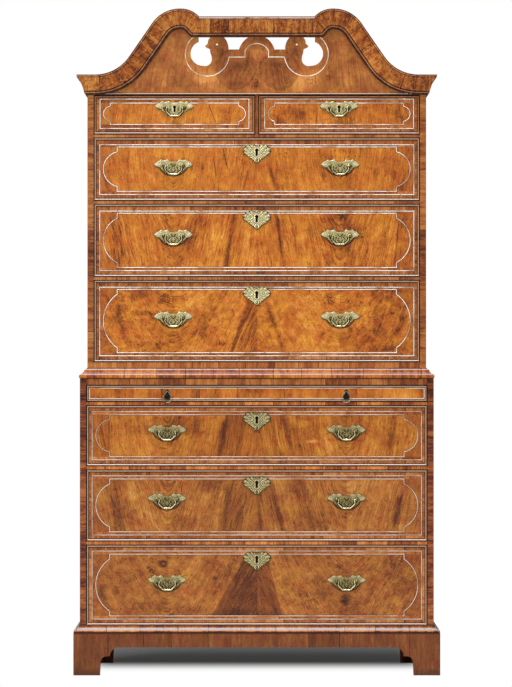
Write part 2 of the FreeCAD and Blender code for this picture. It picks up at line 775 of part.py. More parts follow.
def arched_length(plan, valley):
    """The moulding that follows the right half of the pediment, cut to its two mitres."""
    body = doc.addObject("PartDesign::Body", "arched_run")
    overrun = d.cornice_width * OVERRUN
    path_start = upper_half + d.cornice_projection
    fall = (crest_rise - valley_rise) / (crest_end - valley_half)
    path = new_sketch(body, "XZ_Plane")
    edge = pediment_edge()
    edge[-1] = (valley_half - overrun, valley_rise - overrun * fall)
    draw(path, [(path_start, 0)] + edge, False)
    profile = new_sketch(body, "YZ_Plane", path_start)
    section = stretched(CORNICE_SECTION, d.cornice_projection, d.cornice_width)
    draw(profile, [stop[:-2] + (-1 * stop[-2], stop[-1] - d.cornice_width) for stop in section])
    pipe = body.newObject("PartDesign::AdditivePipe", "pipe")
    pipe.Profile = profile
    pipe.Spine = (path, [])
    pipe.Refine = False
    place(body, (0, upper_front, cornice_top))
    cornered = common("arched_cornered", body, plan)
    return cut("arched_right", cornered, [valley])


def pediment_moulding():
    section = stretched(CORNICE_SECTION, d.cornice_projection, d.cornice_width)
    across = [stop[:-2] + (-1 * stop[-2], stop[-1]) for stop in section]
    reach, edge = upper_half + d.cornice_projection, upper_front - d.cornice_projection
    floor = cornice_top - d.cornice_width
    top = cornice_top + crest_rise
    plan = mitred_plan("cornice_plan", (upper_half, upper_front), (reach, edge), (floor, top))
    # Both mitres at the valley lean by half the turn between the crest's last slope and the level
    fall = math.atan2((crest_rise - valley_rise).value, (crest_end - valley_half).value)
    lean = math.tan(fall / 2)
    low, high = valley_under - d.cornice_width, valley_rise + d.cornice_width / 2
    at_low = valley_half + lean * (valley_rise - low)
    at_high = valley_half - lean * (high - valley_rise)
    valley_loop = [(-at_low, low), (at_low, low), (at_high, high), (-at_high, high)]
    at = (0, upper_front, cornice_top)
    valley = prism("valley_block", "XZ_Plane", [valley_loop], d.cornice_projection * 2, at)
    right = arched_length(plan, valley)
    at = (-at_low, upper_front, cornice_top + valley_under)
    run = prism("middle_run", "YZ_Plane", [across], 2 * at_low, at)
    middle = common("middle_length", run, valley)
    side = cut("return_right", moulding_side("return_run", section, upper_half, edge, floor), [plan])
    left = mirror("arched_left", right)
    bead_z = (small_ceiling + (d.cornice_rise - d.cornice_width), floor + d.frieze_bead)
    bead_run = prism(
        "bead_run", "YZ_Plane",
        [[(0, 0), ("through", -d.frieze_bead_nose, d.frieze_bead / 2), (0, d.frieze_bead)]],
        2 * upper_half, (-upper_half, upper_front, bead_z[0]),
    )
    bead = cut("frieze_bead", bead_run, [right, left])
    node("pediment_moulding", [right, left, middle, side, mirror("return_left", side), bead])


board = pediment_board()
node("pediment_board", [board])
pediment_moulding()
node("waist_moulding", moulding_frame(
    "waist", stretched(WAIST_SECTION, d.case_step + d.waist_overhang, d.waist_height),
    d.case_step + d.waist_overhang, upper_half, upper_front, lower_case_top, d.waist_height,
))
node("base_moulding", moulding_frame(
    "base", stretched(BASE_SECTION, d.base_projection, d.base_height),
    d.base_projection, lower_half, lower_front, d.plinth_height, d.base_height,
))

# Case sides, each with the housings of what it carries


def case_sides(name, inner, half, front, z, carried):
    """A pair of sides, housed for one group of pieces after another."""
    right = box(f"{name}_side_blank", (inner, half), (front, case_back), z)
    for number, pieces in enumerate(carried, 1):
        right = cut(f"{name}_side_{number}", right, pieces)
    return [right, mirror(f"{name}_side_left", right)]


lower_sides = case_sides(
    "lower", lower_inner, lower_half, lower_front, (d.plinth_height, lower_case_top),
    [rails[:3], dustboards[:3], [lower_bottom_board, lower_top_board], lower_planks[2:]],
)
upper_sides = case_sides(
    "upper", upper_inner, upper_half, upper_front, (lower_case_top, cornice_top), [
        rails[3:], dustboards[3:], [foot_rail, upper_top_board], [upper_bottom_board], upper_planks[2:],
        [board],
    ],
)

node("lower_case_boards", lower_sides + [lower_bottom_board, lower_top_board])
node("upper_case_boards", upper_sides + [foot_rail, upper_bottom_board, upper_top_board])
node("drawer_rails", rails + [muntin])
node("dustboards_and_stops", dustboards + [partition] + kickers + stops)
node("backboards", lower_planks + upper_planks)


def cockbeads(name, x, z, front):
    """Four half-round strips let into the edges of a front."""
    nose = [(0, 0), (d.bead_depth, 0), (d.bead_depth, d.bead_width), (0, d.bead_width),
            ("through", -d.bead_projection, d.bead_width / 2)]
    stile = [stop[:-2] + (stop[-1], stop[-2]) for stop in nose]
    strips = []
    for low in (z[0], z[1] - d.bead_width):
        strips.append(prism(f"{name}_bead", "YZ_Plane", [nose], x[1] - x[0], (x[0], front, low)))
    for left in (x[0], x[1] - d.bead_width):
        at = (left, front, z[0] + d.bead_width)
        strips.append(prism(f"{name}_bead", "XY_Plane", [stile], z[1] - z[0] - 2 * d.bead_width, at))
    return strips


def tailed_side(depth, height, floor, count):
    """A drawer side seen from the right: dovetails at the front end and above the bottom at the back."""
    root, tip = d.front_thickness, d.front_thickness - d.tail_lap
    stops = [(root, 0)]
    for number in range(count):
        middle = height * ((number + 0.5) / count)
        half = height / (4 * count)
        stops += [(root, middle - half), (tip, middle - half - d.tail_flare)]
        stops += [(tip, middle + half + d.tail_flare), (root, middle + half)]
    stops.append((root, height))
    root, tip, span = depth - d.drawer_back, depth, height - floor
    stops.append((root, height))
    for number in reversed(range(count)):
        middle = floor + span * ((number + 0.5) / count)
        half = span / (4 * count)
        stops += [(root, middle + half), (tip, middle + half + d.tail_flare)]
        stops += [(tip, middle - half - d.tail_flare), (root, middle - half)]
    return stops + [(root, floor), (tip, floor), (tip, 0)]


# Brass and locks are made once and then placed. Their own zero is the front plane of the drawer in Y.

pivot = -d.plate_thickness - d.post_reach
lock_y = (d.front_thickness - d.lock_thickness, d.front_thickness)


def keyhole(name, z):
    """The space of the keyhole from the plate to the inside of the lock, its middle at a height."""
    y = (-d.plate_thickness, lock_y[0] + d.key_reach)
    top = z + d.key_height / 2 - d.key_round / 2
    hole = rod(f"{name}_round", (0, 1, 0), d.key_round / 2, y[1] - y[0], (0, y[0], top))
    slot = box(f"{name}_slot", (-d.key_slot / 2, d.key_slot / 2), y, (z - d.key_height / 2, top))
    return fuse(name, [hole, slot])


def handle_posts():
    """Two posts with their nuts, and the shanks that pass through the drawer front."""
    length = d.front_thickness + d.nut_length - pivot
    shank = rod("shank", (0, 1, 0), d.post_shank / 2, length, (d.post_half, pivot, 0))
    neck_start = -d.plate_thickness - d.neck_length
    neck = rod("neck", (0, 1, 0), d.post_neck / 2, d.neck_length, (d.post_half, neck_start, 0))
    head = ball("head", d.post_head / 2, (d.post_half, pivot, 0))
    bore_end = d.post_half - d.post_head / 2 + d.pivot_depth
    bore = rod("bore", (1, 0, 0), d.bail_wire / 2 + d.pivot_fit, bore_end, (0, pivot, 0))
    post = cut("post", fuse("post_blank", [shank, neck, head]), [bore])
    nut_blank = rod("nut_blank", (0, 1, 0), d.nut_size / 2, d.nut_length, (d.post_half, d.front_thickness, 0))
    nut = cut("nut", nut_blank, [shank])
    shanks = together("shanks", [shank, mirror("shank_twin", shank)])
    return shanks, [post, nut, mirror("post_twin", post), mirror("nut_twin", nut)]


def back_plate(name, holes):
    half = stretched(PLATE_HALF, d.plate_width / 2, as_size(-PLATE_HALF[-1][-1]))
    blank = prism(f"{name}_blank", "XZ_Plane", [mirrored_loop(half)], d.plate_thickness, (0, 0, 0))
    return cut(name, blank, holes)


def bail_bar():
    """The swinging bail: its ends turn outward into the posts."""
    end = d.post_half - d.post_head / 2 + d.pivot_depth - d.pivot_fit
    arm = d.post_half - d.post_head / 2 - d.bail_wire / 2 - d.bail_gap
    right = [
        (end, 0), (arm, 0, d.bail_shoulder), (d.bail_spread, -d.bail_widest, d.bail_side_bend),
        (d.bail_grip, -d.bail_drop, d.bail_grip_bend),
    ]
    left = [(-1 * stop[0],) + stop[1:] for stop in reversed(right)]
    return tube("bail_bar", right + left, False, "YZ_Plane", (end, 0), d.bail_wire / 2, (0, 0, 0))


def escutcheon():
    """The shield round the keyhole of a wide drawer, the keyhole's middle at its zero."""
    half = stretched(ESCUTCHEON_HALF, d.escutcheon_width / 2, as_size(-ESCUTCHEON_HALF[-1][-1]))
    blank = prism("shield", "XZ_Plane", [mirrored_loop(half)], d.plate_thickness, (0, 0, 0))
    return cut("escutcheon", blank, [keyhole("shield_keyhole", 0)])


def lock(name, key_down):
    """A lock under the top edge of a front, its zero there: its space, the case, the bolt and the keyhole."""
    space = box(f"{name}_space", (-d.lock_width / 2, d.lock_width / 2), lock_y, (-d.lock_height, 0))
    middle = (lock_y[0] + lock_y[1]) / 2
    wide, deep, fit = d.bolt_width / 2, d.bolt_thickness / 2, d.bolt_fit
    bolt = box(f"{name}_bolt", (-wide, wide), (middle - deep, middle + deep), (-d.bolt_length, 0))
    room_y = (middle - deep - fit, middle + deep + fit)
    room = box(f"{name}_bolt_room", (-wide - fit, wide + fit), room_y, (-d.bolt_length, 0))
    key = keyhole(f"{name}_keyhole", -key_down)
    return space, cut(f"{name}_case", space, [room, key]), bolt, key


small_key = keyhole("small_plate_keyhole", -d.small_key_drop)
shanks, posts = handle_posts()
handle = together("handle", [back_plate("plate", [shanks])] + posts)
key_handle = together("key_handle", [back_plate("key_plate", [shanks, small_key])] + posts)
bail = bail_bar()
shield = escutcheon()
wide_lock = lock("wide_lock", d.key_drop - d.head_gap)
small_lock = lock("small_lock", d.small_post_drop + d.small_key_drop - d.head_gap)


# Drawers

def drawer_side(name, x, front, floor, outline, bottom):
    blank = prism(f"{name}_blank", "YZ_Plane", [outline], d.drawer_side, (x, front, floor))
    return cut(name, blank, [bottom])


def make_drawer(drawer):
    name, front = drawer.name, drawer.front
    x = (drawer.x[0] + d.side_gap, drawer.x[1] - d.side_gap)
    z = (drawer.floor + d.runner_gap, drawer.floor + drawer.height - d.head_gap)
    back_of_front = front + d.front_thickness
    depth, height = drawer_end - front, z[1] - z[0] - d.side_drop
    floor = d.bottom_lift + d.drawer_bottom

    outline = tailed_side(depth, height, floor, drawer.tails)
    inset = d.drawer_side - d.groove
    bottom = box(
        f"{name}_bottom", (x[0] + inset, x[1] - inset), (back_of_front - d.groove, drawer_end),
        (z[0] + d.bottom_lift, z[0] + floor),
    )
    left = drawer_side(f"{name}_side", x[0], front, z[0], outline, bottom)
    if drawer.small:
        right = drawer_side(f"{name}_right_side", x[1] - d.drawer_side, front, z[0], outline, bottom)
    else:
        right = mirror(f"{name}_right_side", left)
    back_y = (drawer_end - d.drawer_back, drawer_end)
    back = box(f"{name}_back_blank", x, back_y, (z[0] + floor, z[0] + height))
    boards = [left, right, cut(f"{name}_back", back, [left, right]), bottom]
    made = {f"drawer_{name}_box": node(f"drawer_{name}_box", boards)}

    beads = cockbeads(name, x, z, front)
    lock_at = (drawer.key, front, z[1])
    lock_set = small_lock if drawer.small else wide_lock
    space, case, bolt, key = [copy_at(f"{name}_{piece.Name}", piece, lock_at) for piece in lock_set]
    holes, brass = [space, key], [case]
    for side, handle_x in drawer.handles.items():
        at = (handle_x, front, drawer.posts)
        holes.append(copy_at(f"{name}_shanks", shanks, at))
        brass.append(copy_at(f"{name}_handle", key_handle if drawer.small else handle, at))
        bail_name = f"bail_{name}{side}"
        made[bail_name] = node(bail_name, [bail], (handle_x, front + pivot, drawer.posts))
    if not drawer.small:
        at = (drawer.key, front, drawer.floor + drawer.height - d.key_drop)
        brass.append(copy_at(f"{name}_escutcheon", shield, at))
    blank = box(f"{name}_front_blank", x, (front, back_of_front), z)
    board = cut(f"{name}_front", blank, [left, right, bottom] + holes + beads)
    made[f"drawer_{name}_front"] = node(f"drawer_{name}_front", [board] + beads)
    made[f"drawer_{name}_brass"] = node(f"drawer_{name}_brass", brass)
    made[f"bolt_{name}"] = node(f"bolt_{name}", [bolt])
    return made


for drawer in DRAWERS:
    made = make_drawer(drawer)
    if drawer.small:
        for name, part in made.items():
            twin = name.replace("left", "right")
            node(twin, [mirror(f"{twin}_mirror", part)])


# Brushing slide

def ring_post():
    """The right ring's round plate, eye and shank in one piece, and the nut behind."""
    x, z, eye_y = d.ring_place, ring_height, lower_front - d.ring_reach
    plate_z, plate_y = z - d.rosette_drop, lower_front - d.rosette_thickness
    plate = rod("rosette", (0, 1, 0), d.rosette / 2, d.rosette_thickness, (x, plate_y, plate_z))
    ear = rod("rosette_ear", (0, 1, 0), d.rosette_ear / 2, d.rosette_thickness, (x, plate_y, z))
    boss_y = plate_y - d.boss_thickness
    raised = rod("boss", (0, 1, 0), d.boss / 2, d.boss_thickness, (x, boss_y, plate_z))
    eye_left = x - d.eye_width / 2
    eye = rod("eye", (1, 0, 0), d.ring_eye / 2, d.eye_width, (eye_left, eye_y, z))
    length = d.ring_reach + d.slide_front + d.nut_length
    shank = rod("ring_shank", (0, 1, 0), d.post_shank / 2, length, (x, eye_y, z))
    bore = rod("ring_bore", (1, 0, 0), d.ring_wire / 2 + d.pivot_fit, d.eye_width, (eye_left, eye_y, z))
    post = cut("ring_post", fuse("ring_post_blank", [plate, ear, raised, eye, shank]), [bore])
    nut = rod("ring_nut_blank", (0, 1, 0), d.nut_size / 2, d.nut_length, (x, slide_back, z))
    return shank, [post, cut("ring_nut", nut, [shank])]


def ring_wire():
    """A pointed ring whose straight top turns in the eye, the pivot at its zero."""
    half = d.eye_width / 2 + d.ring_play
    # The straight flanks touch the round part; its middle hangs below the pivot
    reach = math.hypot(half.value, d.ring_drop.value)
    turn = math.acos(d.ring_radius.value / reach) + math.atan2(half.value, d.ring_drop.value)
    touch = (d.ring_radius * math.sin(turn), d.ring_radius * math.cos(turn) - d.ring_drop)
    route = [
        (0, 0), (half, 0, d.ring_bend), touch, ("through", 0, -d.ring_drop - d.ring_radius),
        (-1 * touch[0], touch[1]), (-half, 0, d.ring_bend),
    ]
    return tube("ring_wire", route, True, "YZ_Plane", (0, 0), d.ring_wire / 2, (0, 0, 0))


def brushing_slide():
    beads = cockbeads("slide", slide_x, slide_z, lower_front)
    panel_z = (slide_z[0], slide_z[0] + d.slide_board)
    panel = box("slide_panel", slide_x, (slide_back - d.slide_tongue, drawer_end), panel_z)
    shank, post = ring_post()
    shanks = [shank, mirror("ring_shank_twin", shank)]
    blank = box("slide_front_blank", slide_x, (lower_front, slide_back), slide_z)
    face = cut("slide_face", blank, [panel] + beads + shanks)
    node("slide_board", [face, panel] + beads)
    node("slide_ring_posts", post + [mirror(f"{piece.Name}_twin", piece) for piece in post])
    wire = ring_wire()
    for name, side in (("ring_left", -1), ("ring_right", 1)):
        node(name, [wire], (side * d.ring_place, lower_front - d.ring_reach, ring_height))


brushing_slide()


def write_parts():
    """Check every object and sub-part, then write one file for each sub-part."""
    doc.recompute()
    failed = [thing.Name for thing in doc.Objects if {"Invalid", "Error"} & set(thing.State)]
    failed += [part.Label for part in nodes if part.Shape.isNull() or not part.Shape.isValid()]
    if failed:
        raise RuntimeError(f"these objects failed: {failed}")
    os.makedirs("parts", exist_ok=True)
    for part in nodes:
        part.Shape.exportStep(os.path.join("parts", f"{part.Label}.step"))
        print(part.Label, len(part.Shape.Solids), round(part.Shape.Volume))
    print(len(nodes), "sub-parts,", sum(len(part.Shape.Solids) for part in nodes), "solids")


write_parts()
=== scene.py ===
import json
import math

import bpy
import numpy as np
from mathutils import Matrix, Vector
from mathutils.geometry import delaunay_2d_cdt

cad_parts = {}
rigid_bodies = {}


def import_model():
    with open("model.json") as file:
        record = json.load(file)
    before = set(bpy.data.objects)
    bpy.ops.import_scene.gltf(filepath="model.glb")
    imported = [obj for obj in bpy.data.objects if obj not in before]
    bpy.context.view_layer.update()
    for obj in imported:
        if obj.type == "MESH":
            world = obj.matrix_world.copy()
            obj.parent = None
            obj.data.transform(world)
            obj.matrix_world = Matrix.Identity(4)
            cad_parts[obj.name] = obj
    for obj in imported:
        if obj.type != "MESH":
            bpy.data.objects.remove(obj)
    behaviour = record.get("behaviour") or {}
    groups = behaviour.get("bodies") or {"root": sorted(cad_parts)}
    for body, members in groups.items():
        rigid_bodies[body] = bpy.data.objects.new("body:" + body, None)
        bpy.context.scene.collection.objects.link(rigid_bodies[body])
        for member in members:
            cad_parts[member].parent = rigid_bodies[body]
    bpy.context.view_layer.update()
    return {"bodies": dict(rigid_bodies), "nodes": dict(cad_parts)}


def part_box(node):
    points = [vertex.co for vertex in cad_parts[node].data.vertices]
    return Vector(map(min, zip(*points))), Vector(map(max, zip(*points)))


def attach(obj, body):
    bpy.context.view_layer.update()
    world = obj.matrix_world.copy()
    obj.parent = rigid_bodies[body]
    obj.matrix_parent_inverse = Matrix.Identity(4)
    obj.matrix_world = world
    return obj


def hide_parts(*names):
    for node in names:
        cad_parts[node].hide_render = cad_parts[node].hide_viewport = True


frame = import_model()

mm = 0.001
wideDrawers = ["upper_1", "upper_2", "upper_3", "lower_1", "lower_2", "lower_3"]
smallDrawers = ["top_left", "top_right"]
allDrawers = smallDrawers + wideDrawers


def say(words):
    print("chest:", words)


def nodeBox(name):  # a CAD node's corners, in millimetres
    low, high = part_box(name)
    return Vector(low) / mm, Vector(high) / mm


def spanOf(name):  # its middle and its half sizes
    low, high = nodeBox(name)
    return (low + high) / 2, (high - low) / 2


# Nodes and shader maths

def addNode(tree, kind, settings, values):
    # one node of any kind; what it is given is linked if it is a socket, and set if it is not
    made = tree.nodes.new(kind)
    for setting, choice in settings.items():
        setattr(made, setting, choice)
    pairs = values.items() if isinstance(values, dict) else enumerate(values)
    for key, given in pairs:
        given = getattr(given, "socket", given)
        if isinstance(given, bpy.types.NodeSocket):
            tree.links.new(given, made.inputs[key])
        else:
            made.inputs[key].default_value = given
    return made


def paint(red, green, blue):  # a colour as a screen shows it, made linear
    parts = []
    for part in (red, green, blue):
        part = part / 255
        parts.append(part / 12.92 if part <= 0.04045 else ((part + 0.055) / 1.055) ** 2.4)
    return (*parts, 1)


def operator(operation, turned=False):  # a method that adds one maths node
    def method(value, *others):
        inputs = [*others, value] if turned else [value, *others]
        return value.shader.node("Math", {"operation": operation}, inputs)
    return method


class Value:  # a socket that can be added, multiplied, mixed and so on
    __add__ = __radd__ = operator("ADD")
    __sub__ = operator("SUBTRACT")
    __rsub__ = operator("SUBTRACT", True)
    __mul__ = __rmul__ = operator("MULTIPLY")
    __truediv__ = operator("DIVIDE")
    __lt__ = operator("LESS_THAN")
    __gt__ = operator("GREATER_THAN")
    __abs__ = operator("ABSOLUTE")
    least = operator("MINIMUM")
    most = operator("MAXIMUM")
    root = operator("SQRT")
    exponent = operator("EXPONENT")
    floor = operator("FLOOR")
    angle = operator("ARCTAN2")

    def __init__(self, shader, socket):
        self.shader = shader
        self.socket = socket

    def smooth(self, low, high, strength=1.0):  # from 0 at low to the strength at high
        settings = {"interpolation_type": "SMOOTHSTEP"}
        return self.shader.node("MapRange", settings, [self, low, high, 0.0, strength])

    def between(self, first, second):  # two numbers, blended
        return self.shader.node("Mix", {"data_type": "FLOAT"}, {0: self, 2: first, 3: second})

    def mix(self, factor, over, blend="MIX"):  # this colour with another laid over it
        return self.shader.mix(factor, self, over, blend)

    def stain(self, value, look):
        # another colour laid on: the look is its strength and the colour, and before them the two values
        # between which it fades in, if it does
        *edges, strength, colour = look
        return self.mix(value.smooth(*edges, strength) if edges else value * strength, colour)

    def ramp(self, *stops):  # each a position and a screen colour
        made = self.shader.node("ValToRGB", {}, [self])
        elements = made.socket.node.color_ramp.elements
        while len(elements) < len(stops):
            elements.new(1)
        for element, (position, *colour) in zip(elements, stops):
            element.position = position
            element.color = paint(*colour)
        return made


surfaceFeel = {"bumpDepth": 0.0008, "metalShine": 0.5, "woodShine": 0.2}


class Shader:  # the nodes of one material, or of the world
    def __init__(self, name, owner=None):
        self.owner = owner or bpy.data.materials.new(name)
        self.owner.use_nodes = True
        self.tree = self.owner.node_tree
        self.tree.nodes.clear()

    def node(self, kind, settings, values, output=0):
        made = addNode(self.tree, "ShaderNode" + kind, settings, values)
        return Value(self, made.outputs[output]) if made.outputs else made

    def axes(self, output, scale):
        given = self.node("TexCoord", {}, {}, output)
        scaled = self.node("VectorMath", {"operation": "SCALE"}, {0: given, "Scale": scale})
        return [self.node("SeparateXYZ", {}, [scaled], axis) for axis in range(3)]

    def place(self):  # object coordinates, in millimetres
        return self.axes("Object", 1 / mm)

    def facing(self):  # the object's own normal
        return self.axes("Normal", 1)

    def mix(self, factor, first, second, blend="MIX"):  # a colour of three parts is a screen colour
        settings = {"data_type": "RGBA", "blend_type": blend, "clamp_factor": True}
        values = {0: factor, 6: first, 7: second}
        for key, part in values.items():
            if isinstance(part, tuple) and len(part) == 3:
                values[key] = paint(*part)
        return self.node("Mix", settings, values, 2)

    def finish(self, colour, roughness, bump, strength, metallic=0.0):
        raised = {"Strength": strength, "Distance": surfaceFeel["bumpDepth"], "Height": bump}
        surface = self.node("BsdfPrincipled", {}, {
            "Base Color": colour, "Roughness": roughness, "Metallic": metallic,
            "Specular IOR Level": surfaceFeel["metalShine" if metallic else "woodShine"],
            "Normal": self.node("Bump", {}, raised),
        })
        self.node("OutputMaterial", {}, {"Surface": surface})
        return self.owner


def noise(x, y, z, detail=2.0, roughness=0.5, distortion=0.0):
    shader = next(part.shader for part in (x, y, z) if isinstance(part, Value))
    return shader.node("TexNoise", {}, {
        "Vector": shader.node("CombineXYZ", {}, [x, y, z]), "Scale": 1.0, "Detail": detail,
        "Roughness": roughness, "Distortion": distortion,
    })


def layers(table, across, along, seed=0.0):
    # a noise for each row of a table: its size across and along, its seed, detail, roughness and distortion
    made = {}
    for name, (width, length, shift, *kind) in table.items():
        made[name] = noise(across / width, along / length, seed + shift, *kind)
    return made


def swayed(figure, noises, weights, scale=1.0):
    # a tone moved up and down by each noise, as strongly as its weight says
    for name, weight in weights.items():
        figure = figure + (noises[name] - 0.5) * (weight * scale)
    return figure


# Walnut: for each tone its position on the ramp and its screen colour

walnutTones = {
    "figured": [(0.0, 70, 32, 15), (0.26, 128, 66, 28), (0.5, 182, 101, 38), (0.74, 208, 128, 50),
                (1.0, 232, 160, 78)],
    "lower": [(0.0, 56, 28, 18), (0.26, 104, 56, 32), (0.5, 152, 88, 42), (0.74, 184, 118, 56),
              (1.0, 212, 152, 84)],
    "golden": [(0.0, 60, 28, 16), (0.26, 112, 58, 26), (0.5, 164, 92, 36), (0.74, 194, 122, 50),
               (1.0, 222, 156, 78)],
    "banding": [(0.0, 84, 40, 24), (0.35, 140, 76, 40), (0.62, 182, 108, 54), (1.0, 218, 150, 88)],
    "redBanding": [(0.0, 76, 32, 18), (0.4, 144, 74, 38), (0.7, 186, 110, 56), (1.0, 218, 148, 88)],
    "stile": [(0.0, 66, 30, 20), (0.35, 122, 64, 34), (0.6, 160, 92, 44), (1.0, 200, 132, 70)],
    "lowerStile": [(0.0, 56, 24, 16), (0.35, 102, 48, 28), (0.6, 136, 70, 38), (1.0, 176, 108, 58)],
    "plinth": [(0.0, 48, 22, 14), (0.35, 92, 47, 25), (0.6, 124, 69, 36), (1.0, 176, 114, 62)],
    "moulding": [(0.0, 62, 28, 14), (0.3, 138, 66, 26), (0.58, 190, 106, 40), (1.0, 228, 156, 74)],
    "pediment": [(0.0, 66, 32, 16), (0.3, 124, 68, 32), (0.6, 172, 102, 50), (1.0, 220, 152, 78)],
}
tints = {  # what a colour is multiplied by
    "golden": (1.08, 1.22, 0.84, 1), "russet": (0.96, 0.76, 0.74, 1), "bright": (1.5, 1.4, 1.2, 1),
}
strips = {  # cross-banded strips: tones, length of a piece, seed and contrast
    "outer": ("banding", 120, 40, 0.9), "red": ("redBanding", 160, 50, 0.8), "bead": ("stile", 200, 60, 0.6),
    "slideBead": ("stile", 220, 61, 0.6), "stile": ("stile", 150, 4, 1.1), "rail": ("banding", 74, 12, 0.85),
    "lowerStile": ("lowerStile", 170, 7, 1.5), "lowerRail": ("stile", 80, 15, 1.0),
    "waist": ("moulding", 84, 41, 1.1), "base": ("moulding", 96, 47, 1.1), "arch": ("moulding", 58, 23, 1.2),
    "return": ("moulding", 90, 29, 1.4), "plinth": ("plinth", 96, 31, 0.5),
}
tintEdges = {"golden": (0.5, 0.66), "russet": (0.5, 0.34)}  # where each sets in and where it is full
crossLook = {  # grain: size across and along the strip, how far the lengths differ, detail and roughness
    "grain": {"streak": (2.6, 30, 9, 4.0, 0.7), "broad": (15, 80, 5)},
    "fine": {"tick": (1.9, 22, 2, 2.0, 0.6)}, "ticks": (0.58, 0.68, 0.3), "tone": 0.58,
    "weights": {"streak": 1.3, "broad": 1.1, "tone": 0.4}, "joint": 0.42, "unevenness": (140, 0.9), "gap": 0.8,
}
fleckShape = {"spot": (5, 9), "patch": (70, 90), "unevenness": 0.25, "share": 0.7, "softness": 0.06}


def laidLengths(along, piece, seed):  # the tone of each length, and the dark joint between two
    run, amount = crossLook["unevenness"]
    count = along / piece + noise(along / run, seed, 3.0, 1.0) * amount
    number = count.floor()
    tone = along.shader.node("TexWhiteNoise", {"noise_dimensions": "1D"}, {"W": number + seed})
    return tone, abs(count - number - 0.5) > 0.5 - crossLook["gap"] / piece


def crossGrain(along, across, strip, seed=0):
    # short lengths laid edge to edge, the grain running across the strip
    tones, piece, shift, contrast = strips[strip]
    seed = seed + shift
    tone, joint = laidLengths(along, piece, seed)
    noises = {"tone": tone}
    for name, (width, length, spread, *kind) in crossLook["grain"].items():
        noises[name] = noise(along / width, across / length, tone * spread + seed, *kind)
    ticks = layers(crossLook["fine"], along, across, seed)["tick"].smooth(*crossLook["ticks"])
    figure = swayed(crossLook["tone"], noises, crossLook["weights"], contrast)
    figure = figure - joint * crossLook["joint"] - ticks * contrast
    return figure.ramp(*walnutTones[tones]), figure


def tinted(colour, patches, amount):  # golden where the patches are strong, russet where they are weak
    for tint, edges in tintEdges.items():
        colour = colour.mix(patches.smooth(*edges, amount), tints[tint], "MULTIPLY")
    return colour


def beadJoint(edge, sizes):  # the shade beside a cockbead: from the bead's inner edge, and at its outer one
    before, after, rim = sizes
    bead = frontShape["bead"]
    return ((edge > bead + before) * (edge < bead + after)).most(edge < rim)


def flecks(across, along, seed):  # the small dark pits and knots of old walnut
    shape = fleckShape
    spots = noise(across / shape["spot"][0], along / shape["spot"][1], seed, 2.0, 0.6)
    patches = noise(across / shape["patch"][0], along / shape["patch"][1], seed + 4, 1.0)
    spots = spots + (patches - 0.5) * shape["unevenness"]
    return spots.smooth(shape["share"], shape["share"] + shape["softness"])


crackShape = {"half": 1.1, "run": 12, "sway": 4}


def crack(u, v, start, end):  # a short dark check in the veneer
    length = math.dist(start, end)
    alongX, alongZ = (end[0] - start[0]) / length, (end[1] - start[1]) / length
    travelled = (u - start[0]) * alongX + (v - start[1]) * alongZ
    bend = (noise(travelled / crackShape["run"], 0.0, start[0], 1.0) - 0.5) * crackShape["sway"]
    off = abs((u - start[0]) * alongZ - (v - start[1]) * alongX + bend)
    return (off < crackShape["half"]) * (travelled > 0) * (travelled < length)


# Drawer fronts. Each entry of veneers says how a front differs from plainVeneer; u and v run from its middle.
# tones: a ramp of walnutTones. lean and bow: how the grain turns; round: how it curls about the handle;
# warp: how far it wanders. fan: the darker middle, as the u of its left edge at its top and its foot, of its
# right edge at its top and its foot, and its depth. streaks: the grain's strength outside the fan and inside.
# leaves: what is added to the tone of the left outer, left inner, right inner and right outer leaf.
# knots: u, v, size. marks: soft patches, dark or, below nought, pale: u, v, half width, half height, lean and
# depth. cracks: u and v of both ends.

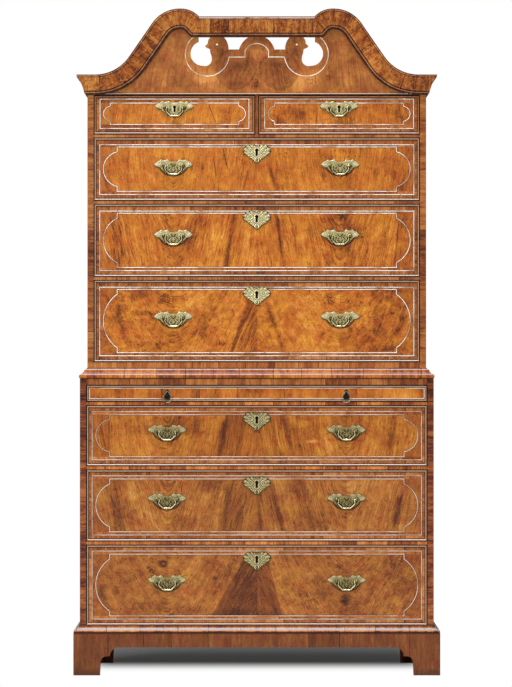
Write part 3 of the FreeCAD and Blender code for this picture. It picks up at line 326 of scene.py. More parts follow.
plainVeneer = {"tones": "figured", "bow": 0.0, "fan": None, "knots": [], "cracks": []}
veneers = {
    "top_left": {
        "lean": 0.15, "warp": 10, "round": 12, "seed": 2.3, "streaks": (0.5, 1.0), "speckle": 0.1,
        "mottle": 0.13, "leaves": (0.07, 0.07, 0.07, 0.07),
        "marks": [(150, 0, 12, 26, 0.1, 0.12), (-176, -8, 10, 22, 0.0, 0.12), (-60, 14, 30, 12, 0.0, -0.06)],
        "cracks": [(99, 27, 119, -24)],
    },
    "top_right": {
        "lean": -0.1, "warp": 12, "round": 12, "seed": 5.1, "streaks": (0.5, 1.0), "speckle": 0.1,
        "mottle": 0.2, "leaves": (-0.03, -0.01, -0.01, -0.03),
        "knots": [(178, -4, 8)],
        "marks": [
            (-112, 4, 26, 18, 0.3, 0.2), (-172, -14, 16, 14, 0.0, 0.15), (169, 12, 8, 22, 0.25, 0.16),
            (181, -14, 12, 10, 0.0, 0.12), (-20, -18, 34, 12, 0.0, -0.05), (10, -24, 26, 8, 0.0, 0.08),
        ],
        "cracks": [(-62, 22, -66, -28)],
    },
    "upper_1": {
        "lean": 0.12, "bow": 0.0008, "warp": 16, "round": 30, "seed": 1.7, "streaks": (0.6, 0.9),
        "speckle": 0.12, "mottle": 0.13, "leaves": (0.05, 0.06, 0.03, 0.0),
        "knots": [(65, 44, 4.5), (84, 46, 4)],
        "marks": [
            (188, 6, 40, 44, 0.0, 0.11), (262, -38, 34, 26, 0.0, 0.09), (326, 30, 20, 46, 0.0, 0.07),
            (-31, -32, 4, 36, 0.25, 0.24), (46, -26, 6, 44, -0.28, 0.22), (-8, -30, 2.4, 40, 0.05, 0.14),
            (-368, 10, 2.4, 46, 0.03, 0.14), (-428, -48, 6, 22, -0.3, 0.22), (418, -46, 14, 18, 0.0, 0.16),
            (-255, 50, 60, 16, 0.0, -0.07), (120, -20, 16, 44, 0.0, -0.06),
        ],
        "cracks": [(-97, 60, -83, 0), (-123, 31, -117, -17)],
    },
    "upper_2": {
        "lean": 0.18, "bow": -0.0003, "warp": 15, "round": 50, "seed": 8.4, "streaks": (0.85, 0.85),
        "speckle": 0.24, "mottle": 0.15, "leaves": (0.03, 0.05, 0.03, -0.03),
        "knots": [(310, 34, 6), (300, 10, 5)],
        "marks": [
            (-388, 0, 6, 62, -0.14, 0.28), (-404, 10, 5, 60, -0.14, 0.14), (-180, 12, 24, 44, 0.25, 0.13),
            (-222, -62, 18, 18, 0.0, 0.1), (-78, 0, 7, 90, 0.17, 0.27), (-50, 0, 2.4, 74, 0.08, 0.16),
            (66, 0, 4, 74, -0.14, 0.27), (208, 60, 30, 20, 0.3, 0.07), (272, 26, 42, 24, 0.0, 0.09),
            (244, -32, 46, 18, 0.0, 0.07), (401, -6, 2.6, 60, 0.12, 0.27), (426, 48, 14, 20, 0.0, 0.14),
            (-16, -52, 38, 26, 0.0, -0.07), (-112, -8, 14, 60, 0.2, -0.07), (120, 30, 18, 44, -0.2, -0.05),
        ],
    },
    "upper_3": {
        "lean": 0.42, "warp": 18, "round": 58, "seed": 4.6, "fan": (-10, -74, 1, 1, 0.12),
        "streaks": (0.32, 1.05), "speckle": 0.5, "mottle": 0.28, "leaves": (-0.01, 0.04, 0.06, -0.03),
        "knots": [(-262, 62, 22), (-206, 65, 13), (206, 60, 20), (262, 56, 9), (-98, -62, 13), (388, 22, 6)],
        "marks": [
            (-322, 22, 34, 8, 0.0, 0.24), (-388, -10, 11, 50, -0.32, 0.2), (-150, -12, 18, 38, 0.4, 0.14),
            (-118, 34, 10, 36, 0.5, 0.12), (-46, -15, 8, 74, 0.38, 0.24), (-20, -30, 20, 50, 0.2, 0.08),
            (52, -15, 7, 74, -0.36, 0.27), (408, -10, 9, 60, 0.3, 0.2), (305, -40, 52, 24, 0.0, 0.16),
            (372, -78, 44, 9, 0.0, 0.22), (150, 0, 40, 56, 0.0, -0.09), (-165, 60, 36, 22, 0.0, -0.07),
            (-300, -72, 60, 14, 0.0, 0.14),
        ],
        "cracks": [(-398, 46, -392, 40), (196, -32, 186, -42), (158, 100, 150, 82)],
    },
    "lower_1": {
        "tones": "golden", "lean": 0.16, "bow": 0.0005, "warp": 15, "round": 40, "seed": 6.9,
        "fan": (-86, -116, 72, 104, 0.06), "streaks": (0.5, 0.8), "speckle": 0.2, "mottle": 0.13,
        "leaves": (0.03, 0.0, 0.01, 0.04),
        "marks": [
            (-206, 30, 40, 28, 0.0, 0.14), (-176, 10, 16, 50, 0.2, 0.1), (-100, -5, 9, 64, 0.2, 0.26),
            (-48, -5, 8, 50, 0.2, 0.12), (88, 10, 7, 60, -0.25, 0.22), (112, -10, 9, 50, -0.25, 0.16),
            (52, -10, 4, 50, -0.1, 0.1), (-440, 0, 5, 50, -0.2, 0.16), (-424, 4, 2, 50, 0.0, 0.18),
            (385, 0, 9, 62, 0.15, 0.2), (403, -30, 5, 40, 0.15, 0.14), (158, -16, 18, 4.5, 0.0, -0.26),
            (138, 36, 18, 8, 0.0, -0.15), (216, -12, 18, 40, 0.3, -0.08), (-350, 0, 50, 40, 0.0, -0.05),
        ],
    },
    "lower_2": {
        "tones": "lower", "lean": 0.24, "warp": 15, "round": 34, "seed": 9.2,
        "fan": (-66, -102, 40, 78, 0.11), "streaks": (0.55, 0.5), "speckle": 0.26, "mottle": 0.14,
        "leaves": (0.03, 0.05, 0.03, 0.08),
        "knots": [(-404, 46, 6), (-92, 45, 3), (222, 30, 8)],
        "marks": [
            (-402, -10, 15, 70, -0.15, 0.18), (-140, 60, 42, 22, 0.0, 0.16), (-90, -10, 10, 84, 0.24, 0.17),
            (-46, -20, 28, 62, 0.2, 0.1), (8, -30, 5, 56, -0.05, 0.2), (62, -15, 8, 74, -0.24, 0.2),
            (112, 52, 24, 26, 0.0, 0.12), (186, -42, 34, 28, 0.0, 0.15), (156, 8, 30, 40, 0.0, 0.07),
            (-206, -46, 48, 18, 0.0, 0.14), (402, -12, 9, 48, 0.2, 0.27), (278, 52, 26, 18, 0.0, -0.15),
            (-352, 40, 20, 40, 0.0, -0.07), (330, -30, 30, 30, 0.0, -0.05),
        ],
        "cracks": [(-214, 58, -216, 36), (-216, 36, -226, 16), (-420, 30, -404, -6)],
    },
    "lower_3": {
        "tones": "lower", "lean": 0.5, "warp": 14, "round": 50, "seed": 3.8,
        "fan": (-34, -126, 33, 72, 0.27), "streaks": (0.3, 0.5), "speckle": 0.9, "mottle": 0.2,
        "leaves": (-0.03, -0.01, -0.01, -0.03),
        "knots": [
            (-267, 61, 13), (-300, 40, 10), (-226, 38, 12), (236, 52, 12), (250, -50, 14), (-120, 20, 7),
        ],
        "marks": [
            (-267, 61, 13, 10, 0.0, 0.3), (-267, 61, 6, 5, 0.0, -0.36), (6, -30, 4, 50, -0.03, -0.08),
            (46, -40, 6, 40, -0.3, 0.12), (255, -42, 14, 20, 0.0, 0.24), (-440, -28, 12, 44, -0.2, 0.14),
            (428, -44, 14, 44, 0.2, 0.18), (30, 0, 18, 60, -0.3, -0.06), (-310, -60, 60, 14, 0.0, 0.08),
            (-20, -80, 100, 12, 0.0, 0.08), (120, 20, 40, 50, 0.0, -0.06), (-180, 50, 40, 30, 0.0, -0.06),
            (-350, 50, 50, 30, 0.0, -0.04),
        ],
        "cracks": [(-316, 46, -306, 52), (-240, 20, -232, 30)],
    },
}
drawerGrain = {  # noises that follow the grain, as rows for layers
    "fine": (1.6, 40, 0, 3.0, 0.7), "grain": (3.4, 40, 2, 3.0, 0.65), "medium": (9, 100, 5, 3.0, 0.6),
    "broad": (42, 300, 9), "pores": (1.5, 8, 33, 1.0),
}
drawerSpots = {  # noises that don't
    "warp": (110, 150, 0), "ripple": (34, 60, 11), "mottle": (20, 20, 3, 4.0, 0.65, 0.6),
    "cloud": (120, 90, 17, 1.0), "patches": (70, 55, 27, 1.0), "clusters": (60, 40, 39),
    "specks": (3.4, 3.8, 37, 2.0, 0.6), "burr": (3.4, 3.4, 31, 3.0, 0.7), "tint": (46, 34, 43, 2.0, 0.6),
}
veneerLook = {  # how strongly each thing counts
    "tone": 0.59, "plain": {"fine": 0.85, "broad": 0.4, "cloud": 0.42}, "grain": {"grain": 0.9, "medium": 0.8},
    "uneven": (0.36, 0.62, 0.7), "least": 0.65, "mottle": 4.6, "ripple": 0.35, "shift": 0.22,
    "mark": 1.3, "markSway": 8, "seam": (0.6, 0.14), "pores": (0.60, 0.72, 0.34), "specks": (0.60, 0.68),
    "clusters": (0.46, 0.62), "stray": 0.08, "flecks": 0.3, "knot": (0.46, 0.60, 0.5), "knotShade": 0.06,
    "knotEdge": (1.6, 0.1), "knotHeight": 0.75, "crack": 0.5, "tint": 0.75, "polish": (0.42, 0.30),
    "relief": (0.6, 2, 0.12),
}
frontLook = {  # stains: how strong and what colour, after where they fade in
    "spandrel": (0.3, (134, 64, 34)), "groove": (0.62, (56, 26, 16)), "joint": (0.94, (24, 13, 10)),
    "wear": (16, 3, 0.18, (84, 44, 24)), "wearSway": 10,
    # small, wide and low: painted highlights on the cockbeads of the small fronts, of the wide ones, and more
    # on each lower bead
    "small": (0.42, (222, 156, 104)), "wide": (0.66, (212, 188, 162)),
    "low": (0.16, (252, 240, 228)), "pine": [(0.3, 168, 122, 74), (0.7, 204, 164, 110)], "pineGrain": (90, 3),
}
fanShape = {"top": 80, "height": 160, "ragged": 0.1, "left": (-3, 5), "right": (-1, 4), "calm": 0.7}
plateShade = {  # a painted shadow under a back plate
    "half": 38.0, "drop": 28.5, "reach": 1.03, "under": -0.1, "edge": (0.13, 0.03, 0.8), "tone": (34, 18, 12),
}
handleDrop = 2.0  # from a bail's top down to the line of its posts

# The pale lines let into each front: insets from the opening's edge
lining = {
    "wide": {"outer": (16.0, 17.0), "inner": 26.0, "notch": 66.0, "apex": 26.5, "step": 14.0},
    "small": {"outer": (17.0, 13.0), "inner": 24.5, "notch": 46.0, "apex": 27.0, "step": 9.0},
    "width": 2.3, "proud": 0.15, "sunk": 0.4, "raised": 3.2, "lowered": 1.4, "corner": 8,
}
frontShape = {  # the cockbead, the gap round a front, and how deep the veneer and the bead are seen
    "bead": 4.0, "proud": 2.0, "gap": 1.0, "veneer": 2.5, "beadDepth": 8.5,
    "joint": (-0.1, 2.2, 0.9), "groove": (1.8, 0.7),
}


def liningOf(name):
    # half sizes of the two pale lines, measured from the middle of the front
    middle, half = spanOf(f"drawer_{name}_front")
    shape = lining["small" if name in smallDrawers else "wide"]
    halfWide, halfTall = half.x + frontShape["gap"], half.z + frontShape["gap"]
    notch, apex = halfWide - shape["notch"], halfWide - shape["apex"]
    inner = halfTall - shape["inner"]
    shoulder = inner - shape["step"]
    bulge = apex - notch
    radius = (shoulder * shoulder + bulge * bulge) / (2 * bulge)
    drop = lining["lowered"] if name.startswith("upper") else 0.0
    return {
        "outer": (halfWide - shape["outer"][0], halfTall - shape["outer"][1] - drop), "drop": drop,
        "lift": lining["raised"] if name in smallDrawers else 0.0, "inner": inner, "notch": notch,
        "shoulder": shoulder, "radius": radius, "arcMiddle": apex - radius, "half": (half.x, half.z),
        "middle": (middle.x, middle.z), "front": middle.y - half.y + frontShape["proud"],
    }


def fanned(figure, plan, u, v, noises):
    # the streaks' strength, and the tone and its mottle where the dark fan lies
    leftTop, leftBottom, rightTop, rightBottom, depth = plan["fan"]
    lowered = (fanShape["top"] - v) / fanShape["height"] + (noises["medium"] - 0.5) * fanShape["ragged"]
    leftEdge = lowered * (leftBottom - leftTop) + leftTop
    rightEdge = lowered * (rightBottom - rightTop) + rightTop
    fan = (u - leftEdge).smooth(*fanShape["left"]) * (rightEdge - u).smooth(*fanShape["right"])
    noises["mottle"] = (noises["mottle"] - 0.5) * (1 - fan * fanShape["calm"]) + 0.5
    return fan.between(*plan["streaks"]), figure - fan * depth


def leaves(name, plan, u, v):
    # one leaf of veneer opened four times, about the middle and about each handle
    small, look, seed = name in smallDrawers, veneerLook, plan["seed"]
    fromMiddle = u if small else abs(u)
    fromSeam = fromMiddle - (0 if small else abs(spanOf(f"bail_{name}_right")[0].x))
    rightHalf, outerLeaf = u > 0, fromSeam > 0
    drift = (rightHalf * 2 + outerLeaf) * (0.0 if small else look["shift"])
    noises = layers(drawerSpots, u, v, seed)
    warp = (noises["warp"] - 0.5) * plan["warp"]
    if small:
        across = fromSeam - v * plan["lean"] + warp
    else:
        away = (fromSeam * fromSeam + plan["round"] ** 2).root()
        ripple = (noises["ripple"] - 0.5) * (plan["warp"] * look["ripple"])
        across = away - v * plan["lean"] + v * v * plan["bow"] + warp + ripple
    noises.update(layers(drawerGrain, across, v, drift + seed))
    strength, figure = plan["streaks"][0], look["tone"]
    if plan["fan"]:
        strength, figure = fanned(figure, plan, u, v, noises)
    figure = swayed(figure, noises, {**look["plain"], "mottle": plan["mottle"] * look["mottle"]})
    strength = (noises["patches"].smooth(*look["uneven"]) + look["least"]) * strength
    figure = swayed(figure, noises, look["grain"], strength)
    for middleU, middleV, wide, tall, lean, darkness in plan["marks"]:
        sway = (noises["medium"] - 0.5) * min(look["markSway"], wide)
        du = (u - (v - middleV) * lean - middleU + sway) / wide
        dv = (v - middleV) / tall
        figure = figure - ((du * du + dv * dv * dv * dv) * -1).exponent() * (darkness * look["mark"])
    leftOuter, leftInner, rightInner, rightOuter = plan["leaves"]
    inner, outer = rightHalf.between(leftInner, rightInner), rightHalf.between(leftOuter, rightOuter)
    figure = figure + outerLeaf.between(inner, outer)
    if not small:
        width, dark = look["seam"]
        figure = figure - (abs(fromSeam) < width).most(abs(u) < width) * dark
    # pores along the grain, and specks gathered in clusters
    clusters = noises["clusters"].smooth(*look["clusters"], plan["speckle"]) + look["stray"]
    specks = noises["specks"].smooth(*look["specks"], clusters)
    figure = figure - noises["pores"].smooth(*look["pores"]) - specks
    figure = figure - flecks(across, v, seed + 21) * look["flecks"]
    burr = noises["burr"].smooth(*look["knot"]) + look["knotShade"]
    for middleU, middleV, size in plan["knots"]:
        du, dv = (u - middleU) / size, (v - middleV) / (size * look["knotHeight"])
        figure = figure - (du * du + dv * dv).smooth(*look["knotEdge"], burr)
    for startU, startV, endU, endV in plan["cracks"]:
        figure = figure - crack(u, v, (startU, startV), (endU, endV)) * look["crack"]
    colour = tinted(figure.ramp(*walnutTones[plan["tones"]]), noises["tint"], look["tint"])
    return colour, figure, noises, fromSeam


def banded(leaf, line, u, v, edge, along, seed):
    # the bands round the leaves, and how far a point lies from either pale line
    outerBand, redBand = crossGrain(along, edge, "outer", seed)[0], crossGrain(u, v, "red", seed)[0]
    outerLine = (abs(u) - line["outer"][0]).most(abs(v + line["drop"] - line["lift"]) - line["outer"][1])
    v = v - line["lift"]
    box = (abs(u) - line["notch"]).most(abs(v) - line["inner"])
    du = abs(u) - line["arcMiddle"]
    disc = (du * du + v * v).root() - line["radius"]
    disc = disc.most(abs(v) - line["shoulder"]).most(line["notch"] - lining["corner"] - abs(u))
    field = box.least(disc)
    spandrel = (abs(v) < line["inner"]) * (field > 0)
    inside = (field < 0).most(spandrel)
    surface = redBand.mix(inside, leaf.mix(spandrel, leaf.mix(*frontLook["spandrel"])))
    return surface.mix(outerLine > 0, outerBand), outerLine, field


def drawerVeneer(name):
    plan, line = {**plainVeneer, **veneers[name]}, liningOf(name)
    small, seed = name in smallDrawers, plan["seed"]
    halfWide, halfTall = line["half"]
    shader = Shader(f"veneer_{name}")
    x, y, z = shader.place()
    u, v = x - line["middle"][0], z - line["middle"][1]
    leaf, figure, noises, fromSeam = leaves(name, plan, u, v)
    fromEnd, fromTop = halfWide - abs(u), halfTall - abs(v)
    edge, onEnd = fromEnd.least(fromTop), fromEnd < fromTop
    along = u * (1 - onEnd) + v * onEnd
    surface, outerLine, field = banded(leaf, line, u, v, edge, along, seed)

    # the cockbead, its colour a painted highlight that is strongest on the lower bead, and the shade in the
    # joints beside it and beside the pale lines
    bead, lowBead = edge < frontShape["bead"], v < frontShape["bead"] - halfTall
    amount, beadHighlight = frontLook["small" if small else "wide"]
    more, lowBeadHighlight = frontLook["low"]
    beadHighlight = shader.mix(lowBead, beadHighlight, lowBeadHighlight)
    beadBand = crossGrain(along, edge, "bead", seed)[0]
    surface = surface.mix(bead, beadBand.mix(lowBead * more + amount, beadHighlight))
    joint = beadJoint(edge, frontShape["joint"])
    beside, width = frontShape["groove"]
    groove = (abs(abs(outerLine) - beside) < width).most((abs(abs(field) - beside) < width) * (outerLine < 0))
    surface = surface.stain(groove, frontLook["groove"]).stain(joint, frontLook["joint"])
    if not small:
        # a painted shadow in a crescent just under each back plate
        posts = nodeBox(f"bail_{name}_right")[1].z - handleDrop - line["middle"][1]
        plateU, plateV = fromSeam / plateShade["half"], (v - posts) / plateShade["drop"]
        reach = abs((plateU * plateU + plateV * plateV).root() - plateShade["reach"])
        dirt = reach.smooth(*plateShade["edge"]) * (plateV < plateShade["under"])
        surface = surface.mix(dirt, plateShade["tone"])
    surface = surface.stain(edge + (noises["cloud"] - 0.5) * frontLook["wearSway"], frontLook["wear"])

    # behind the veneer the front is pine, with its grain along X
    run, cross = frontLook["pineGrain"]
    pine = noise(x / run, z / cross, y / cross + seed, 3.0).ramp(*frontLook["pine"])
    hidden = (y > line["front"] + frontShape["veneer"]) * (edge > 0.2).least(shader.facing()[1] > -0.5)
    surface = surface.mix(hidden.least(1 - bead * (y < line["front"] + frontShape["beadDepth"])), pine)
    polish = figure.smooth(0.2, 0.8).between(*veneerLook["polish"])
    share, depth, strength = veneerLook["relief"]
    return shader.finish(surface, polish, noises["fine"] + noises["medium"] * share - joint * depth, strength)


# Case, mouldings and plinth

caseShape = {"stile": 19.2, "rim": 2.5, "farRim": 9.0, "friezeBead": 5}
caseLook = {
    "worn": (3.2, 0.6, 0.55, (62, 28, 18)), "arris": (16.5, 19.0, 0.5), "arrisTone": (50, 24, 16),
    "rim": (0.94, (20, 11, 9)), "sway": 90, "flecks": 0.2, "inside": [(0.3, 120, 84, 50), (0.7, 158, 116, 72)],
    "spots": {"sway": (160, 500, 6), "cloud": (150, 200, 8, 1.0)},
    "grain": {"fine": (2, 160, 1, 3.0, 0.6), "broad": (26, 500, 2, 3.0, 0.55)},
    "weights": {"fine": 0.4, "broad": 0.55, "cloud": 0.2},
}


def openings(x, z):
    # how far a point of the case's front lies outside the nearest drawer front or slide
    rim = caseShape["farRim"]
    for name in [f"drawer_{drawer}_front" for drawer in allDrawers] + ["slide_board"]:
        middle, half = spanOf(name)
        rim = (abs(x - middle.x) - half.x).most(abs(z - middle.z) - half.z).least(rim)
    return rim


def caseFront(x, z, half, isLower):
    # stiles are cross-banded, rails have upright grain; painted shade lies on the stiles' inner edges and in a
    # rim round each opening
    shape, look = caseShape, caseLook
    onStile = abs(x) > half - shape["stile"]
    stile, stileFigure = crossGrain(z, x, "stile")
    stile = stile.mix(isLower, crossGrain(z, x, "lowerStile")[0])
    lowerRail = crossGrain(x, z, "lowerRail")[0]
    lowerRail = lowerRail.mix(z < nodeBox("slide_board")[0].z, tints["bright"], "MULTIPLY")
    colour = crossGrain(x, z, "rail")[0].mix(isLower, lowerRail).mix(onStile, stile)
    outside = half - abs(x)
    # darker at the front's outer edges
    colour = colour.stain(outside + noise(z / 30, 2.0, 5.0) * 2, look["worn"])
    # painted shade on the stiles' inner edges, beside the openings
    colour = colour.mix(onStile * outside.smooth(*look["arris"]), look["arrisTone"])
    # painted shade in a rim round each drawer front and the slide
    colour = colour.stain(openings(x, z) < shape["rim"], look["rim"])
    frieze = z > nodeBox("pediment_moulding")[0].z + shape["friezeBead"]
    return colour.mix(frieze * (1 - isLower), pedimentFigure(x, z)[0]), stileFigure


def caseWalnut():
    # the veneered front, tall plain boards at the sides, and rough wood inside
    shader = Shader("walnut_case")
    x, y, z = shader.place()
    facing = shader.facing()
    corner, upperHalf = nodeBox("lower_case_boards")[1], nodeBox("upper_case_boards")[1].x
    isLower = z < corner.z
    half = isLower * (corner.x - upperHalf) + upperHalf
    face, stileFigure = caseFront(x, z, half, isLower)
    noises = layers(caseLook["spots"], y, z)
    noises.update(layers(caseLook["grain"], y + (noises["sway"] - 0.5) * caseLook["sway"], z))
    figure = swayed(0.5, noises, caseLook["weights"]) - flecks(y, z, 3.0) * caseLook["flecks"]
    inside = noise(x / 3, y / 80, z / 60, 3.0).ramp(*caseLook["inside"])
    outer = (abs(facing[0]) > 0.5) * (abs(x) > half - 1)
    surface = inside.mix(outer, figure.ramp(*walnutTones["stile"])).mix(facing[1] < -0.5, face)
    return shader.finish(surface, 0.36, noises["fine"] * 0.5 + stileFigure * 0.5, 0.10)


def alongStrip(x, y, facing):  # how far along a strip that runs round the front and both sides
    onSide = abs(facing[0]) > abs(facing[1])
    return x * (1 - onSide) + y * onSide


mouldings = {  # the strength and colour of a painted highlight on upward faces, and how far the dark quirk at the top, a painted shade, reaches down
    "waist": {"worn": 0.8, "pale": (202, 182, 174), "quirk": 2.0},
    "base": {"worn": 0.84, "pale": (192, 190, 190), "quirk": 5.0},
}
mouldingLook = {
    "foot": 3.2, "tint": 0.7, "shelf": (0.1, 0.5, 0.4, (104, 52, 32)), "up": (0.4, 0.9), "down": (0.2, 0.8),
    "rubbed": (0.15, 0.5), "below": (0.6, (50, 25, 17)), "joint": (0.75, (52, 28, 20)),
    "quirk": (0.72, (72, 34, 22)),
}


def mouldingWalnut(name):
    # cross-grained lengths: the grain runs up the section, across the strip
    plan, look = mouldings[name], mouldingLook
    _, piece, seed, _ = strips[name]
    low, high = nodeBox(f"{name}_moulding")
    shader = Shader(f"walnut_{name}")
    x, y, z = shader.place()
    facing = shader.facing()
    along = alongStrip(x, y, facing)
    colour, figure = crossGrain(along, z, name)
    colour = tinted(colour, noise(along / 34, seed, z / 30, 2.0, 0.6), look["tint"])
    # painted shade on faces that slope upward, against the strong light from above
    colour = colour.stain(facing[2], look["shelf"])
    lightNoise = noise(along / 14, seed, z / 10, 4.0, 0.7)
    up = (facing[2] + (lightNoise - 0.5) * 0.5).smooth(*look["up"])
    down = (facing[2] * -1 + (lightNoise - 0.5) * 0.4).smooth(*look["down"])
    # a painted highlight on upward faces, broken up by a noise
    colour = colour.mix(up * lightNoise.smooth(*look["rubbed"], plan["worn"]), plan["pale"])
    # painted shade on downward faces, then the real dark joints between lengths
    colour = colour.stain(down, look["below"]).stain(laidLengths(along, piece, seed)[1], look["joint"])
    # painted shade along the foot and in the quirk at the top
    colour = colour.stain((z < low.z + look["foot"]).most(z > high.z - plan["quirk"]), look["quirk"])
    return shader.finish(colour, 0.34, figure, 0.10)


# The outer edge of the pediment's right half, from the CAD sizes: corners, and the radius of each bend. The
# other sizes are depths under that edge, and for the bead and its shine heights over the moulding's foot.
pedimentShape = {
    "edge": [(600.0, 0.0), (400.6, 0.0, 118.0), (270.5, 188.6, 96.0), (186.2, 188.6, 70.0), (165.0, 166.0),
             (0.0, 166.0)],
    "crest": 188.6, "fillet": (2.2, 5.6), "arris": 2.6, "cove": (6.4, 45.0), "quirk": (48.0, 52.0),
    "line": 0.9, "bead": 5.2, "shine": (2.2, 3.2), "beadFront": -246,
}
archLook = {
    "noises": {"tint": (24, 16, 11, 2.0, 0.6), "figure": (13, 10, 5, 4.0, 0.7, 0.9),
               "specks": (3.2, 3.6, 8, 2.0, 0.6)},
    "tint": 0.7, "dark": (0.52, 0.64, 0.75, (104, 48, 26)), "pale": (0.48, 0.36, 0.6, (226, 152, 78)),
    "specks": (0.60, 0.68, 0.6, (54, 26, 18)), "worn": (0.2, 0.55), "fillet": (240, 206, 190),
    "level": (0.9, 0.06), "arris": (0.95, (40, 20, 16)), "quirk": (0.9, (36, 20, 16)),
    "below": (0.6, (150, 108, 90)), "mitre": (0.7, (56, 30, 22)), "bead": ((46, 28, 22), (196, 164, 142)),
}


def bendOf(before, corner, after):
    # the middle of the round that replaces a corner, and where on each leg it starts and ends
    radius = corner[2]
    here = Vector(corner[:2])
    back, ahead = (Vector(before[:2]) - here).normalized(), (Vector(after[:2]) - here).normalized()
    half = back.angle(ahead) / 2
    run = radius / math.tan(half)
    middle = here + (back + ahead).normalized() * (radius / math.sin(half))
    return middle, here + back * run, here + ahead * run


def stretchesOf(corners):
    # the path as lines and arcs: start, the way it faces there, direction, middle and radius of the bend, and
    # the length so far
    made, travelled = [], 0.0
    here, turned = Vector(corners[0][:2]), None
    for number, corner in enumerate(corners[1:], 1):
        way = (Vector(corner[:2]) - here).normalized()
        middle, first, last = None, Vector(corner[:2]), None
        if len(corner) > 2:
            middle, first, last = bendOf(corners[number - 1], corner, corners[number + 1])
        made.append((here, way if turned is None else (way + turned).normalized(), way, None, 0, travelled))
        travelled += (first - here).length
        here, turned = first, way
        if middle is not None:
            made.append((first, way, way, middle, corner[2], travelled))
            travelled += corner[2] * (first - middle).angle(last - middle)
            here, turned = last, None
    return made


def alongPath(w, h, corners):
    # how far a point lies along a path, how far under it, and whether it is near a mitre
    along, under, reached, mitre = 0.0, 0.0, 1.0, 0.0
    for start, face, way, middle, radius, travelled in stretchesOf(corners):
        out = Vector((way.y, -way.x))
        across, up = w - start.x, h - start.y
        test = across * face.x + up * face.y
        if middle is None:
            run = across * way.x + up * way.y
            depth = across * -out.x - up * out.y
        else:
            arm = (start - middle).normalized()
            across, up = w - middle.x, h - middle.y
            run = (across * way.x + up * way.y).angle(across * arm.x + up * arm.y) * radius
            depth = ((across * across + up * up).root() - radius) * (-1 if arm.dot(out) > 0 else 1)
        if face != way:
            mitre = abs(test) < pedimentShape["line"]
        reached = (test > 0) * reached
        along = reached.between(along, run + travelled)
        under = reached.between(under, depth)
    return along, under, mitre * reached


def archedWalnut():
    # the grain crosses the moulding square all the way round
    shader = Shader("walnut_pediment_moulding")
    x, y, z = shader.place()
    shape, look = pedimentShape, archLook
    foot, top = (corner.z for corner in nodeBox("pediment_moulding"))
    along, under, mitre = alongPath(abs(x), z - (top - shape["crest"]), shape["edge"])
    side = (x > 0) * 900 + along  # so that the two halves differ
    noises = layers(look["noises"], side, under)
    colour, figure = crossGrain(side, under, "arch")
    colour = tinted(colour, noises["tint"], look["tint"])
    colour = colour.stain(noises["figure"], look["dark"]).stain(noises["figure"], look["pale"])
    colour = colour.stain(noises["specks"], look["specks"])
    onReturn = (abs(shader.facing()[0]) > 0.6) * (y > nodeBox("upper_case_boards")[0].y)
    colour = colour.mix(onReturn, crossGrain(y, z, "return")[0])
    # the pale fillet is a painted highlight, strongest on the level middle, with painted shade on the arris
    # above it; the quirks under the cove are painted shade with a paler band between them; the bead of the
    # frieze has a painted highlight on its top and painted shade under it
    lightNoise = noise(along / 26, under / 6, 2.0, 3.0).smooth(*look["worn"])
    pale = (under > shape["fillet"][0]) * (under < shape["fillet"][1])
    more, least = look["level"]
    level = (abs(x) < shape["edge"][-1][1]) * more + least
    colour = colour.mix(pale * lightNoise * level, look["fillet"])
    arris = (under < shape["arris"]).most(abs(under - shape["cove"][0]) < shape["line"])
    start, end = shape["quirk"]
    quirk = ((under > shape["cove"][1]) * (under < start)).most(under > end)
    colour = colour.stain(arris, look["arris"]).stain(quirk, look["quirk"])
    colour = colour.stain((under > start) * (under < end), look["below"]).stain(mitre, look["mitre"])
    bead = (z < foot + shape["bead"]) * (y > shape["beadFront"])
    shine = z.smooth(foot + shape["shine"][0], foot + shape["shine"][1])
    colour = colour.mix(bead, shader.mix(shine, *look["bead"]))
    return shader.finish(colour, 0.4, figure, 0.10)


pedimentMarks = [  # soft dark or pale patches: x, height under the crest, half width, half height, depth
    (-136, -198, 34, 20, -0.2), (138, -203, 30, 24, -0.22), (-105, -122, 20, 30, 0.1),
    (105, -122, 20, 30, 0.1), (-53, -160, 26, 11, 0.08), (52, -160, 26, 11, 0.08), (-50, -210, 24, 12, 0.05),
    (82, -212, 20, 14, 0.05), (-4, -124, 22, 16, -0.06), (-250, -180, 50, 40, 0.05),
    (260, -170, 50, 40, 0.05), (204, -140, 12, 40, 0.05), (0, -212, 9, 16, 0.1), (-190, -130, 30, 50, -0.03),
]
pedimentLobes = [(-60, -170, 58), (65, -174, 56)]  # the two dark rounds: x, height under the crest, radius
pedimentKnots = [(-6, -219, 11), (0, -205, 7), (-150, -120, 5), (204, -196, 9), (150, -208, 14)]
pedimentCracks = [  # both ends, and how dark
    ((168, -212), (168, -178), 0.3), ((-167, -224), (-168, -180), 0.3), ((12, -150), (4, -176), 0.2),
]
pedimentLook = {
    "grain": {"fine": (1.8, 80, 0, 3.0, 0.6), "medium": (9, 130, 4, 3.0, 0.6), "broad": (42, 220, 9)},
    "spots": {"mottle": (12, 16, 31, 4.0, 0.65, 0.5), "burr": (4, 4, 7, 3.0), "tint": (50, 40, 27, 2.0, 0.6)},
    "tone": 0.6, "weights": {"fine": 0.65, "medium": 0.4, "broad": 0.4, "cloud": 0.5, "mottle": 0.6},
    "round": 30, "lean": 0.18, "sway": 44, "pores": (0.60, 0.72, 0.25), "mark": (24, 20, 1.7),
    "lobe": (14, 20, 0.13, 0.14), "flecks": 0.22, "knot": (0.45, 0.6, 0.42), "knotEdge": (1.5, 0.2),
    "seam": (0.5, 0.14), "tint": 0.7,
}


